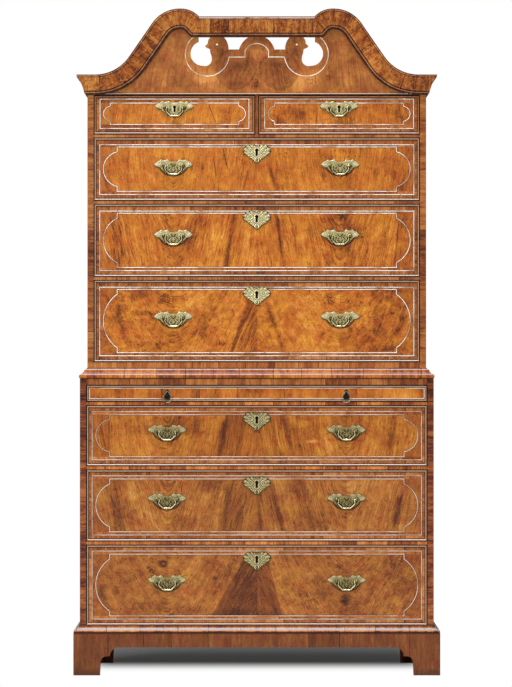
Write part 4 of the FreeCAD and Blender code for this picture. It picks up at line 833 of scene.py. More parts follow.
def pedimentFigure(x, z):
    # two leaves opened about the centre line, the grain upright and leaning outward
    look = pedimentLook
    w, h = abs(x), z - nodeBox("pediment_board")[1].z
    sway = (noise(x / 120, h / 160, 3.0) - 0.5) * look["sway"]
    across = (w * w + look["round"] ** 2).root() + h * look["lean"] + sway
    noises = {**layers(look["grain"], across, h, (x > 0) * 0.3), **layers(look["spots"], x, h)}
    noises["cloud"] = noise(w / 60, h / 50, 15.0)
    pores = noise(across / 1.5, h / 9, 21.0, 1.0).smooth(*look["pores"])
    figure = swayed(look["tone"], noises, look["weights"]) - pores
    strayX, strayH, strength = look["mark"]
    for middleX, middleH, wide, tall, darkness in pedimentMarks:
        du = (x - middleX + (noises["broad"] - 0.5) * strayX) / wide
        dh = (h - middleH + (noises["cloud"] - 0.5) * strayH) / tall
        figure = figure - ((du * du + dh * dh) * -1).exponent() * (darkness * strength)
    grained, clouded, inner, rim = look["lobe"]
    for middleX, middleH, radius in pedimentLobes:
        dx, dh = x - middleX, h - middleH
        reach = swayed((dx * dx + dh * dh).root(), noises, {"medium": grained, "cloud": clouded})
        figure = figure - reach.smooth(radius + 2, radius - 4, inner) - abs(reach - radius).smooth(5, 0, rim)
    figure = figure - flecks(across, h, 2.0) * look["flecks"]
    burr = noises["burr"].smooth(*look["knot"])
    for middleX, middleH, size in pedimentKnots:
        du, dv = (x - middleX) / size, (h - middleH) / size
        figure = figure - (du * du + dv * dv).smooth(*look["knotEdge"], burr)
    for start, end, darkness in pedimentCracks:
        figure = figure - crack(x, h, start, end) * darkness
    width, dark = look["seam"]
    colour = (figure - (w < width) * dark).ramp(*walnutTones["pediment"])
    return tinted(colour, noises["tint"], look["tint"]), noises["fine"] + noises["medium"]


def pedimentWalnut():
    shader = Shader("walnut_pediment_board")
    x, _, z = shader.place()
    colour, height = pedimentFigure(x, z)
    return shader.finish(colour, 0.42, height, 0.10)


plinthShape = {"board": 21, "foot": 524, "back": 257, "topJoint": (4.5, 3)}
plinthLook = {
    "tint": 0.85, "pits": (0.56, 0.68, 0.5, (62, 32, 22)), "top": (0.7, (44, 22, 16)),
    "dirt": (26, 2, 0.55, (58, 32, 24)), "edge": (3.0, 0.5, 0.5, (70, 36, 24)),
    "rough": [(0.3, 62, 50, 42), (0.7, 98, 82, 68)],
}


def plinthWalnut():
    shape, look = plinthShape, plinthLook
    low, high = nodeBox("bracket_plinth")
    shader = Shader("walnut_plinth")
    x, y, z = shader.place()
    along = alongStrip(x, y, shader.facing())
    colour, figure = crossGrain(along, z, "plinth")
    colour = tinted(colour, noise(along / 60, z / 50, 19.0, 3.0, 0.6), look["tint"])
    colour = colour.stain(noise(along / 3.4, z / 5, 35.0, 2.0, 0.6), look["pits"])
    # painted shade along the top, under the base moulding
    colour = colour.stain(z.smooth(*(high.z - drop for drop in shape["topJoint"])), look["top"])
    # darker towards the floor
    dirt = noise(along / 40, z / 16, 2.0, 3.0) - 0.5
    colour = colour.stain(z + dirt * 26, look["dirt"])
    colour = colour.stain(abs(abs(x) - shape["foot"]) + dirt * 3, look["edge"])
    inside = (y > low.y + shape["board"]) * (abs(x) < high.x - 1) * (y < shape["back"])
    colour = colour.mix(inside, noise(x / 6, y / 6, z / 60, 3.0).ramp(*look["rough"]))
    return shader.finish(colour, 0.42, figure, 0.12)


boardWeights = {"fine": 0.45, "coarse": 0.55}


def plainWood(name, dark, light, grain, gloss=0.6):
    # grain is the axis that the boards run along
    shader = Shader(name)
    place = shader.place()
    noises = {
        kind: noise(*[place[axis] / (run if axis == grain else cross) for axis in range(3)], 3.0, 0.6)
        for kind, run, cross in (("fine", 140, 3.2), ("coarse", 500, 22))
    }
    colour = swayed(0.5, noises, boardWeights).ramp((0.34, *dark), (0.66, *light))
    return shader.finish(colour, gloss, noises["fine"], 0.2)


def drawerOak():
    # sides run front to back, the back and the bottom run across
    shader = Shader("oak_drawer_linings")
    x, y, z = shader.place()
    onSide = abs(shader.facing()[0]) > 0.5
    run = y * onSide + x * (1 - onSide)
    cross = (y * (1 - onSide) + z * 0.6) + z * onSide
    noises = {
        "fine": noise(cross / 2.4, run / 150, z / 40, 3.0, 0.6),
        "coarse": noise(cross / 24, run / 400, 4.0, 3.0),
    }
    colour = swayed(0.5, noises, boardWeights).ramp((0.32, 138, 100, 60), (0.66, 186, 146, 96))
    return shader.finish(colour, 0.6, noises["fine"], 0.2)


# Brass and iron

def brassFinish(name, pale, mid, deep):
    # the hollows of the chasing hold old polish and dirt; relief is written by the plates, and carries painted
    # shade too, beside the bails and posts, at the keyholes and round the outlines
    shader = Shader(name)
    x, y, z = shader.place()
    relief = shader.node("Attribute", {"attribute_name": "relief"}, {}, "Fac")
    tarnish = noise(x / 9, y / 9, z / 9, 4.0, 0.65)
    grain = noise(x / 1.1, y / 1.1, z / 1.1, 3.0)
    height = relief + (tarnish - 0.5) * 0.5 + (grain - 0.5) * 0.25
    colour = height.ramp((0.02, *deep), (0.34, *mid), (0.78, *pale))
    roughness = height.smooth(0.1, 0.9).between(0.55, 0.30)
    return shader.finish(colour, roughness, grain + tarnish, 0.18, metallic=0.85)


def turnedBrass(name, pale, deep, inside=None):
    # posts, bails and the parts inside the drawer, which are dark where the case hides them
    shader = Shader(name)
    x, y, z = shader.place()
    tarnish = noise(x / 7, y / 7, z / 7, 4.0, 0.65)
    grain = noise(x / 0.9, y / 0.9, z / 0.9)
    colour = (tarnish + (grain - 0.5) * 0.2).ramp((0.3, *deep), (0.62, *pale))
    if inside is not None:
        colour = colour.mix(y > inside, tarnish.ramp((0.3, 26, 20, 16), (0.7, 70, 56, 40)))
    return shader.finish(colour, 0.32, grain + tarnish, 0.15, metallic=0.85)


slideShape = {"board": 10.5, "shine": (2.0, 4.4), "joint": (-0.3, 2.0, 1.3), "length": (112, 71)}
slideLook = {
    "noises": {"fine": (2.6, 14, 5, 3.0, 0.65), "broad": (26, 60, 6, 3.0, 0.6)}, "tone": 0.53,
    "weights": {"fine": 0.8, "broad": 1.0, "cloud": 0.9, "tone": 0.3}, "sway": 30, "flecks": 0.3, "butt": 0.26,
    "tint": 0.8, "shine": (238, 212, 190), "bead": (0.6, (206, 180, 152)), "joint": (0.94, (24, 13, 10)),
    "board": [(0.3, 128, 84, 44), (0.7, 172, 122, 70)],
}


def slideVeneer():
    # lengths of upright grain laid edge to edge between cockbeads, and a plain board behind
    shape, look, bead = slideShape, slideLook, frontShape["bead"]
    shader = Shader("veneer_slide")
    x, y, z = shader.place()
    middle, half = spanOf("slide_board")
    v = z - middle.z
    edge = (middle.x + half.x - abs(x)).least(half.z - abs(v))
    sway = (noise(x / 130, v / 60, 3.0) - 0.5) * look["sway"]
    noises = layers(look["noises"], x, v + sway)
    noises["cloud"] = noise(x / 90, 2.0, 9.0, 1.0)
    noises["tone"], butt = laidLengths(x, *shape["length"])
    figure = swayed(look["tone"], noises, look["weights"])
    figure = figure - flecks(x, v, 8.0) * look["flecks"] - butt * look["butt"]
    colour = figure.ramp(*walnutTones["figured"])
    colour = tinted(colour, noise(x / 38, v / 30, 16.0, 2.0, 0.6), look["tint"])
    # a painted highlight just inside the cockbeads, broken up by a noise, and a paler painted highlight on the
    # cockbeads themselves
    shine = (edge > bead + shape["shine"][0]) * (edge < bead + shape["shine"][1])
    lightNoise = noise(x / 40, v / 9, 14.0)
    colour = colour.mix(shine * lightNoise.smooth(0.2, 0.6), look["shine"])
    colour = colour.mix(edge < bead, crossGrain(x, v, "slideBead")[0].mix(*look["bead"]))
    # painted shade in the joints beside the cockbeads
    joint = beadJoint(edge, shape["joint"])
    board = noise(x / 200, y / 4, z / 4, 3.0, 0.6).ramp(*look["board"])
    colour = colour.stain(joint, look["joint"]).mix(y > middle.y - half.y + shape["board"], board)
    return shader.finish(colour, 0.36, noises["fine"] - joint * 2, 0.12)


# Geometry Nodes

class Tree:  # a tree that turns a line drawing into a finished mesh
    def __init__(self, name, inputs):
        self.tree = bpy.data.node_groups.new(name, "GeometryNodeTree")
        self.socket("Geometry", "Geometry")
        for label, kind in {**inputs, "Place": "Vector", "Finish": "Material"}.items():
            self.socket(label, kind)
        self.socket("Geometry", "Geometry", "OUTPUT")
        self.start = self.tree.nodes.new("NodeGroupInput").outputs
        self.line = self.add("GeometryNodeMeshToCurve", {"Mesh": self.start["Geometry"]})

    def socket(self, label, kind, side="INPUT"):
        self.tree.interface.new_socket(label, in_out=side, socket_type="NodeSocket" + kind)

    def add(self, kind, values, settings=None):
        return addNode(self.tree, kind, settings or {}, values).outputs[0]

    def maths(self, operation, *values):
        return self.add("ShaderNodeMath", values, {"operation": operation})

    def finish(self, geometry):
        real = self.add("GeometryNodeRealizeInstances", {"Geometry": geometry})
        finished = self.add("GeometryNodeSetMaterial", {"Geometry": real, "Material": self.start["Finish"]})
        addNode(self.tree, "NodeGroupOutput", {}, {"Geometry": finished})
        return self.tree


def runTree(name, points, edges, tree, values):
    # lays the tree over a line drawing and keeps the plain mesh that comes out
    drawing = bpy.data.meshes.new(name)
    drawing.from_pydata(points, edges, [])
    host = placed(bpy.data.objects.new(name, drawing))
    modifier = host.modifiers.new(tree.name, "NODES")
    modifier.node_group = tree
    identifiers = {item.name: item.identifier for item in tree.interface.items_tree if item.in_out == "INPUT"}
    for label, given in values.items():
        modifier[identifiers[label]] = given
    bpy.context.view_layer.update()
    evaluated = host.evaluated_get(bpy.context.evaluated_depsgraph_get())
    mesh = bpy.data.meshes.new_from_object(evaluated)
    host.modifiers.clear()
    host.data = mesh
    return host


def placed(thing):
    bpy.context.scene.collection.objects.link(thing)
    return thing


def inlayTree():
    # a strip of rectangular section along each line, laid flat and then stood up on the front
    tree = Tree("inlaid_line", {"Width": "Float", "Thickness": "Float"})
    flat = tree.add("GeometryNodeSetCurveNormal", {"Curve": tree.line}, {"mode": "Z_UP"})
    section = tree.add("GeometryNodeCurvePrimitiveQuadrilateral", {
        "Width": tree.start["Width"], "Height": tree.start["Thickness"],
    }, {"mode": "RECTANGLE"})
    strip = tree.add("GeometryNodeCurveToMesh", {"Curve": flat, "Profile Curve": section, "Fill Caps": True})
    return tree.finish(tree.add("GeometryNodeTransform", {
        "Geometry": strip, "Rotation": (math.pi / 2, 0, 0), "Translation": tree.start["Place"],
    }))


barShape = {"swell": 3.0, "round": 14, "rings": 8, "knop": (0.8, 0.9, 1.25)}


def bailTree():
    # a round bar that swells towards the middle of its grip, with a small knop there
    shape = barShape
    tree = Tree("swelled_bar", {"Radius": "Float", "Swell": "Float", "Knop": "Float", "Drop": "Float"})
    start = tree.start
    position = tree.add("GeometryNodeSplineParameter", {})
    sine = tree.maths("SINE", tree.maths("MULTIPLY", position, math.pi))
    powered = tree.maths("POWER", sine, shape["swell"])
    grown = tree.maths("MULTIPLY_ADD", powered, start["Swell"], start["Radius"])
    sized = tree.add("GeometryNodeSetCurveRadius", {"Curve": tree.line, "Radius": grown})
    ring = tree.add("GeometryNodeCurvePrimitiveCircle", {"Resolution": shape["round"], "Radius": 1.0})
    bar = tree.add("GeometryNodeCurveToMesh", {"Curve": sized, "Profile Curve": ring, "Fill Caps": True})
    if "Scale" in bar.node.inputs:
        tree.tree.links.new(grown, bar.node.inputs["Scale"])
    ball = tree.add("GeometryNodeMeshUVSphere", {
        "Segments": shape["round"], "Rings": shape["rings"], "Radius": start["Knop"],
    })
    low = tree.add("ShaderNodeCombineXYZ", {"Z": start["Drop"]})
    knop = tree.add("GeometryNodeTransform", {"Geometry": ball, "Translation": low, "Scale": shape["knop"]})
    both = tree.add("GeometryNodeJoinGeometry", {"Geometry": bar})
    tree.tree.links.new(knop, both.node.inputs[0])
    moved = tree.add("GeometryNodeTransform", {"Geometry": both, "Translation": start["Place"]})
    return tree.finish(tree.add("GeometryNodeSetShadeSmooth", {"Geometry": moved}))


class Drawing:  # separate open lines for a tree to follow, in millimetres
    def __init__(self):
        self.points = []
        self.edges = []

    def line(self, *stops):
        first = len(self.points)
        self.points += [(x * mm, z * mm, 0) for x, z in stops]
        self.edges += [(first + step, first + step + 1) for step in range(len(stops) - 1)]

    def arc(self, middle, radius, startAngle, endAngle, steps=40):
        x, z = middle
        turns = np.linspace(startAngle, endAngle, steps + 1)
        self.line(*[(x + radius * math.cos(turn), z + radius * math.sin(turn)) for turn in turns])


pedimentLines = {  # millimetres from the floor and from the centre line
    "circle": {"x": 141.9, "z": 1776.6, "radius": 62.9, "rise": 48.5, "steps": 90},
    "level": {"z": 1768.6, "outer": 79.5, "inner": 33.6},
    "arch": {"z": 1770.3, "radius": 37.3},
}


boxwoodLook = {
    "clean": (255, 243, 224), "dull": (176, 142, 108), "dulled": (0.46, 0.64, 0.8),
    "grime": (0.58, 0.74, 0.6, (120, 84, 58)), "lower": (0.45, (176, 124, 86)),
}


def boxwoodLine():
    # boxwood grown dull in places, and more so on the lower case
    look = boxwoodLook
    shader = Shader("boxwood_line")
    x, y, z = shader.place()
    dull = noise(x / 60, z / 60, y / 60)
    grime = noise(x / 7, z / 7, y / 7, 3.0)
    colour = shader.mix(dull.smooth(*look["dulled"]), look["clean"], look["dull"]).stain(grime, look["grime"])
    colour = colour.stain(z < nodeBox("lower_case_boards")[1].z, look["lower"])
    return shader.finish(colour, 0.38, grime, 0.1)


def frontLines(line):
    drawing, more = Drawing(), lining["width"] / 2
    wide, tall = line["outer"]
    notch, inner, shoulder, drop = line["notch"], line["inner"], line["shoulder"], line["drop"]
    arcAngle = math.asin(shoulder / line["radius"])
    for side in (1, -1):
        drawing.line((-wide - more, side * tall - drop), (wide + more, side * tall - drop))
        drawing.line((side * wide, more - tall - drop), (side * wide, tall - drop - more))
        drawing.line((-notch - more, side * inner), (notch + more, side * inner))
        for end in (1, -1):
            drawing.line((end * notch, side * (inner - more)), (end * notch, side * shoulder))
        turn = 0 if side > 0 else math.pi
        drawing.arc((side * line["arcMiddle"], 0), line["radius"], turn - arcAngle, turn + arcAngle)
    return drawing


def crestLines():
    drawing, more = Drawing(), lining["width"] / 2
    circle, level, arch = pedimentLines["circle"], pedimentLines["level"], pedimentLines["arch"]
    startAngle = math.asin(circle["rise"] / circle["radius"])
    endAngle = math.asin((level["z"] - circle["z"]) / circle["radius"])
    archAngle = math.acos(level["inner"] / arch["radius"])
    archFoot = arch["z"] + arch["radius"] * math.sin(archAngle)
    for side in (1, -1):
        angles = np.array([math.pi - startAngle, 2 * math.pi + endAngle])
        if side > 0:
            angles = math.pi - angles
        drawing.arc((side * circle["x"], circle["z"]), circle["radius"], *angles, steps=circle["steps"])
        outer, inner = side * level["outer"], side * level["inner"]
        drawing.line((outer, level["z"]), (inner - side * more, level["z"]))
        drawing.line((inner, level["z"] + more), (inner, archFoot))
    drawing.arc((0, arch["z"]), arch["radius"], archAngle, math.pi - archAngle)
    return drawing


def stringing():
    tree = inlayTree()
    depth = (lining["sunk"] - lining["proud"]) / 2
    sizes = {"Width": lining["width"] * mm, "Thickness": (lining["proud"] + lining["sunk"]) * mm}
    sizes["Finish"] = boxwoodLine()

    def inlaid(name, drawing, x, y, z):
        place = Vector((x, y + depth, z)) * mm
        return runTree(f"lines_{name}", drawing.points, drawing.edges, tree, {**sizes, "Place": place})

    for name in allDrawers:
        line = liningOf(name)
        middleX, middleZ = line["middle"]
        piece = inlaid(name, frontLines(line), middleX, line["front"], middleZ + line["lift"])
        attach(piece, f"drawer_{name}")
    piece = inlaid("pediment", crestLines(), 0, nodeBox("pediment_board")[0].y, 0)
    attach(piece, "case")
    say("pale lines laid")


# Handles and escutcheons

bailShape = {
    "end": 27.6, "arm": 21.45, "shoulder": 2.2, "widest": (25.0, -11.3), "sideBend": 7.0,
    "grip": (11.0, -25.0), "gripBend": 9.0, "radius": 1.75, "swell": 0.55, "knop": 2.5, "bendSteps": 7,
}


def roundedPath(stops, steps):
    # a line through stops (x, z, radius), each corner turned into an arc
    points = []
    for number, stop in enumerate(stops):
        here = Vector(stop[:2])
        if len(stop) < 3:
            points.append(here)
            continue
        middle, first, last = bendOf(stops[number - 1], stop, stops[number + 1])
        arm, turned = first - middle, last - middle
        angle = arm.angle_signed(turned)
        for step in range(steps + 1):
            spin = -angle * step / steps
            x = arm.x * math.cos(spin) - arm.y * math.sin(spin)
            y = arm.x * math.sin(spin) + arm.y * math.cos(spin)
            points.append(middle + Vector((x, y)))
    return points


def bailPath():
    shape = bailShape
    right = [
        (shape["end"], 0), (shape["arm"], 0, shape["shoulder"]), (*shape["widest"], shape["sideBend"]),
        (*shape["grip"], shape["gripBend"]),
    ]
    left = [(-stop[0], *stop[1:]) for stop in reversed(right)]
    return roundedPath(right + left, shape["bendSteps"])


def handles():
    # each bail's body, its name without bail_, its drawer, and the middle of its posts' line
    for body in frame["bodies"]:
        if body.startswith("bail_"):
            name = body.replace("bail_", "")
            drawer = name if name in smallDrawers else name.replace("_left", "").replace("_right", "")
            middle, half = spanOf(body)
            yield body, name, drawer, Vector((middle.x, middle.y, middle.z + half.z - handleDrop))


def bails(finish):
    tree, shape = bailTree(), bailShape
    points = [(point.x * mm, 0, point.y * mm) for point in bailPath()]
    edges = [(step, step + 1) for step in range(len(points) - 1)]
    sizes = {label: shape[label.lower()] * mm for label in ("Radius", "Swell", "Knop")}
    sizes["Drop"] = shape["grip"][1] * mm
    for body, name, _, place in handles():
        values = {**sizes, "Place": place * mm, "Finish": finish}
        piece = runTree(f"swing_handle_{name}", points, edges, tree, values)
        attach(piece, body)
        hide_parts(body)
    say("bails made")


plateOutline = [  # right half of a back plate, from the top of its middle; the posts' line is 0
    (0, 10.8), (7, 11.0), (11.5, 12.4), (14.5, 16.2), (18, 17.4), (22.5, 15.6), (26.5, 14.8), (31, 15.2),
    (34, 17.2), (36.4, 18.6), (38.2, 15.2), (41.5, 13.6), (45.5, 11.8), (49.5, 8.8), (52.6, 5.4), (56, 3.0),
    (52.4, 0.2), (49, -2.4), (45, -4.6), (41, -4.4), (37, -6.8), (34.8, -10.2), (31.5, -12.4), (29.6, -15.6),
    (26.6, -18.2), (24.2, -21.2), (20.2, -22.8), (16.8, -25.2), (12.6, -26), (8.6, -27.6), (5.2, -27.0),
    (3.4, -28.4), (0, -31),
]
shieldOutline = [  # right half of an escutcheon; the middle of the keyhole is 0
    (0, 18.2), (4, 19.6), (8, 19.2), (12, 21.2), (15.4, 22.6), (18.4, 20.4), (22.5, 20.6), (26, 21.4),
    (28.2, 18.6), (31.6, 17.8), (33.8, 14.6), (36.6, 12.2), (37.8, 8.8), (40.8, 5.2), (38.6, 1.2),
    (37.4, -2.4), (33.8, -3.8), (32.4, -7.4), (28.8, -8.4), (27.2, -11.8), (23.6, -12.6), (21.8, -16),
    (18.2, -16.8), (16.2, -20.2), (12.8, -21), (10.6, -24.6), (7.2, -25.6), (4.4, -29), (0, -31.6),
]
keyholeShape = {"round": 3.75, "slot": 2.3, "height": 18.6, "steps": 16}
plateShape = {
    "grid": 1.15, "rows": 0.87, "clear": 0.55, "outlineStep": 1.1, "back": 1.5, "lift": 0.25, "rim": 0.9,
    "post": 28.5, "tip": 56, "keyhole": -4.9, "worn": 4.2, "wornHeight": 0.95, "keyholeDirt": 3.0,
    "depth": 1.5, "sharp": 50, "shieldTop": 1.5, "shieldDrop": 41.5,
}


def smoothLoop(half):
    # the whole outline, mirrored and drawn as one flowing curve
    whole = half + [(-x, z) for x, z in reversed(half[1:-1])]
    count = len(whole)
    loop = []
    for number in range(count):
        a, b, c, e = (np.array(whole[(number + offset) % count], float) for offset in (-1, 0, 1, 2))
        pieces = max(2, round(float(np.linalg.norm(c - b)) / plateShape["outlineStep"]))
        for part in range(pieces):
            t = part / pieces
            square, cube = 2 * a - 5 * b + 4 * c - e, 3 * b - a - 3 * c + e
            loop.append(0.5 * (2 * b + (c - a) * t + square * t ** 2 + cube * t ** 3))
    return np.array(loop)


def keyholeLoop(middle):
    shape = keyholeShape
    top = middle + shape["height"] / 2 - shape["round"]
    low = middle - shape["height"] / 2
    start = -math.acos(shape["slot"] / shape["round"])
    turns = np.linspace(start, math.pi - start, shape["steps"] + 1)
    loop = [(shape["round"] * math.cos(turn), top + shape["round"] * math.sin(turn)) for turn in turns]
    return np.array(loop + [(-shape["slot"], low), (shape["slot"], low)])


def distanceTo(points, loop, closed=True):
    starts, ends = loop, np.roll(loop, -1, axis=0)
    if not closed:
        starts, ends = starts[:-1], ends[:-1]
    runs = ends - starts
    gaps = points[:, None] - starts[None]
    share = np.clip((gaps * runs).sum(2) / np.maximum((runs ** 2).sum(1), 1e-9), 0, 1)
    return np.linalg.norm(gaps - share[..., None] * runs, axis=2).min(1)


def within(points, loop):
    starts, ends = loop, np.roll(loop, -1, axis=0)
    x, y = points[:, 0, None], points[:, 1, None]
    crosses = (starts[:, 1] > y) != (ends[:, 1] > y)
    rise = ends[:, 1] - starts[:, 1]
    at = starts[:, 0] + (y - starts[:, 1]) * (ends[:, 0] - starts[:, 0]) / np.where(rise == 0, 1e-9, rise)
    return (crosses & (x < at)).sum(1) % 2 == 1


def swell(distance, width):  # 1 at the middle, falling away softly
    return np.exp(-(distance / width) ** 2)


def mound(x, z, middleX, middleZ, wide, tall):
    return np.exp(-((x - middleX) / wide) ** 2 - ((z - middleZ) / tall) ** 2)


def rings(reach, strength, turn, width):  # ridges round a point, fading outward
    return strength * np.cos(reach * turn) * swell(reach, width)


# Chasing, lengths in millimetres. leaves: height, x, z, width, depth. scrolls: strength, closeness, reach.
# ribs: strength, count, reach. panel: half width, drop, half height, sharpness. upright and level: the
# vine's closeness, sway and bend. flutes: strength, middle, count, start, run. petals: strength, drop, count.
# side, foot and frame are places, petalEdge is a shape, and range the least and the most. The others start
# with their strength.
plateCarving = {
    "ground": 0.62, "leaves": [(0.7, 46, 4, 7, 4), (0.5, 19, 13.5, 6, 3), (0.5, 35.5, 14, 4, 3)],
    "scroll": (0.45, 1.15, 11), "ribs": (0.28, 9, 20), "panel": (17.5, 7, 15, 16), "sunk": 0.3,
    "upright": (0.75, 1.6, 0.42), "level": (0.8, 0.9, 0.36), "vine": (0.3, 0.35),
    "flutes": (0.35, 2, 16, 16, 8), "bailDirt": (0.75, 3.0, 1.4, -2), "postDirt": (1.1, 1.5, 5.2),
    "range": (-0.3, 1.7),
}
shieldCarving = {
    "ground": 0.8, "petals": (0.5, 3, 19), "petalEdge": (42, 27, 0.5, 2.6), "waves": (0.3, 0.9, 0.8),
    "side": (19, 4), "sideScroll": (0.35, 0.95, 13), "foot": 22, "footScroll": (0.4, 1.1, 8),
    "frame": (2.5, 9), "bead": (0.7, 2.6, 1.0), "hollow": (0.35, 5.2, 1.3), "rimDirt": (0.35, 3),
    "cloud": (0.3, 0.7, 0.4, 0.6, 0.3), "range": (-0.2, 1.8),
}


def carved(height, carving, rim):  # kept within the casting's range, and sinking to nothing at its rim
    return np.clip(height, *carving["range"]) * np.clip(rim / plateShape["rim"], 0, 1)


def plateRelief(points, rim):
    # leaves at the tips, scrolls over the posts, a sunk field behind the bail and fluting below it
    x, z = np.abs(points[:, 0]), points[:, 1]
    post, tip, carving = plateShape["post"], plateShape["tip"], plateCarving
    height = carving["ground"] + sum(leaf[0] * mound(x, z, *leaf[1:]) for leaf in carving["leaves"])
    height += rings(np.hypot(x - post, z + 1), *carving["scroll"])
    strength, count, reach = carving["ribs"]
    fading = np.clip(1 - np.hypot(x - tip, z) / reach, 0, 1)
    height += strength * np.cos(np.arctan2(z, tip + 1 - x) * count) * fading
    wide, drop, tall, sharpness = carving["panel"]
    panel = 1 / (1 + np.exp((np.hypot(x / wide, (z + drop) / tall) - 1) * sharpness))
    turn, sway, bend = carving["upright"]
    vine = np.cos(x * turn + sway * np.sin(z * bend))
    turn, sway, bend = carving["level"]
    vine = vine * np.cos(z * turn - sway * np.cos(x * bend))
    strength, least = carving["vine"]
    height += strength * vine * (least + panel) - carving["sunk"] * panel
    strength, middle, count, start, run = carving["flutes"]
    height += strength * np.cos(np.arctan2(x, middle - z) * count) * np.clip((-z - start) / run, 0, 1)
    # painted shade beside the bail and round the posts
    bail = np.array([(point.x, point.y) for point in bailPath()])
    strength, away, width, top = carving["bailDirt"]
    dirt = strength * swell(distanceTo(points, bail, closed=False) - away, width) * (z < top)
    strength, drop, width = carving["postDirt"]
    dirt += strength * np.exp(-(np.hypot(x - post, z + drop) / width) ** 4)
    return carved(height, carving, rim), dirt


def shieldRelief(points, rim):
    # petals round the edge, a beaded frame round the keyhole
    x, z, carving = np.abs(points[:, 0]), points[:, 1], shieldCarving
    strength, drop, count = carving["petals"]
    wide, tall, start, rise = carving["petalEdge"]
    growing = np.clip((np.hypot(x / wide, z / tall) - start) * rise, 0, 1)
    height = carving["ground"] + strength * np.cos(np.arctan2(z + drop, x) * count) * growing
    strength, turnX, turnZ = carving["waves"]
    height += strength * np.cos(x * turnX) * np.cos(z * turnZ)
    sideX, sideZ = carving["side"]
    height += rings(np.hypot(x - sideX, z - sideZ), *carving["sideScroll"])
    height += rings(np.hypot(x, z + carving["foot"]), *carving["footScroll"])
    halfWide, halfTall = carving["frame"]
    border = np.hypot(np.clip(x - halfWide, 0, None), np.clip(np.abs(z) - halfTall, 0, None))
    for sign, part in ((1, "bead"), (-1, "hollow")):
        strength, away, width = carving[part]
        height += sign * strength * swell(border - away, width)
    # darker towards the rim
    strength, reach = carving["rimDirt"]
    dirt = strength * np.clip(1 - rim / reach, 0, 1)
    strength, *turns = carving["cloud"]
    dirt += strength * np.cos(x * turns[0] + z * turns[1]) ** 2 * np.cos(z * turns[2] - x * turns[3]) ** 2
    return carved(height, carving, rim), dirt


def plateMesh(loops):
    # points and triangles of the plate's flat face, between its outline and its keyhole
    shape = plateShape
    low, high = loops[0].min(0), loops[0].max(0)
    grid = shape["grid"]
    upward = np.arange(low[1], high[1], grid * shape["rows"])
    columns, rows = np.meshgrid(np.arange(low[0], high[0], grid), upward)
    columns = columns + (np.arange(len(columns)) % 2 * grid / 2)[:, None]
    field = np.column_stack([columns.ravel(), rows.ravel()])
    keep = inPlate(field, loops)
    for loop in loops:
        keep &= distanceTo(field, loop) > grid * shape["clear"]
    points = np.vstack(loops + [field[keep]])
    edges, first = [], 0
    for loop in loops:
        count = len(loop)
        edges += [(first + step, first + (step + 1) % count) for step in range(count)]
        first += count
    flat, _, triangles, _, _, _ = delaunay_2d_cdt([Vector(point) for point in points], edges, [], 0, 1e-6)
    flat = np.array([tuple(point) for point in flat])
    solid = inPlate(np.array([flat[list(triangle)].mean(0) for triangle in triangles]), loops)
    return flat, [tuple(triangle) for triangle, wanted in zip(triangles, solid) if wanted]


def inPlate(points, loops):
    inside = within(points, loops[0])
    for hole in loops[1:]:
        inside &= ~within(points, hole)
    return inside


def casting(half, carve, keyhole=None):
    # a closed casting: its chased face, its edges and a flat back
    shape = plateShape
    loops = [smoothLoop(half)] + ([] if keyhole is None else [keyholeLoop(keyhole)])
    flat, triangles = plateMesh(loops)
    height, dirt = carve(flat, np.min([distanceTo(flat, loop) for loop in loops], axis=0))
    for hole in loops[1:]:
        # the metal is worn smooth and bright round the keyhole, and its edge is dark, a painted shade
        away = distanceTo(flat, hole)
        worn = swell(away, shape["worn"])
        height, dirt = height * (1 - worn) + shape["wornHeight"] * worn, dirt * (1 - worn)
        dirt[away < 0.01] = shape["keyholeDirt"]
    count = len(flat)
    face = [(x, -shape["back"] - shape["lift"] - rise, z) for (x, z), rise in zip(flat, height)]
    rear = [(x, 0.0, z) for x, z in flat]
    directed = {}
    for a, b, c in triangles:
        directed.update({(a, b): True, (b, c): True, (c, a): True})
    faces = triangles + [tuple(count + corner for corner in reversed(triangle)) for triangle in triangles]
    for first, second in directed:
        if (second, first) not in directed:
            faces.append((second, first, count + first, count + second))
    # the back and edges have no relief and the face sinks to none at its rim, so the outline takes the deepest
    # tone, a painted shade round the casting
    relief = np.concatenate([height / shape["depth"] - dirt, np.zeros(count)])
    return {"points": np.array(face + rear), "faces": faces, "relief": relief}


def placePlate(plate, name, place, finish, body):
    mesh = bpy.data.meshes.new(name)
    mesh.from_pydata([tuple(point) for point in (plate["points"] + place) * mm], [], plate["faces"])
    relief = mesh.attributes.new("relief", "FLOAT", "POINT").data
    relief.foreach_set("value", plate["relief"].astype(np.float32))
    mesh.validate()
    mesh.shade_smooth()
    mesh.set_sharp_from_angle(angle=math.radians(plateShape["sharp"]))
    mesh.materials.append(finish)
    piece = placed(bpy.data.objects.new(name, mesh))
    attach(piece, body)


def mounts(bright, dull):
    # back plates and escutcheons lie over the plain ones of the frame
    shape = plateShape
    plain = casting(plateOutline, plateRelief)
    keyed = casting(plateOutline, plateRelief, shape["keyhole"])
    shield = casting(shieldOutline, shieldRelief, 0.0)
    fronts = {drawer: nodeBox(f"drawer_{drawer}_front") for drawer in allDrawers}
    plates = []
    for _, name, drawer, posts in handles():
        plate = keyed if name in smallDrawers else plain
        plates.append((plate, f"back_plate_{name}", drawer, posts.x, posts.z))
    for drawer in wideDrawers:
        middle = fronts[drawer][1].z + shape["shieldTop"] - shape["shieldDrop"]
        plates.append((shield, f"escutcheon_{drawer}", drawer, 0.0, middle))
    for plate, name, drawer, x, z in plates:
        place = np.array([x, fronts[drawer][0].y + frontShape["proud"], z])
        placePlate(plate, name, place, dull if "lower" in drawer else bright, f"drawer_{drawer}")
    say("brass plates chased")


# Finishes on the frame

def dress(finish, *names):
    for name in names:
        slots = frame["nodes"][name].data.materials
        slots.clear()
        slots.append(finish)


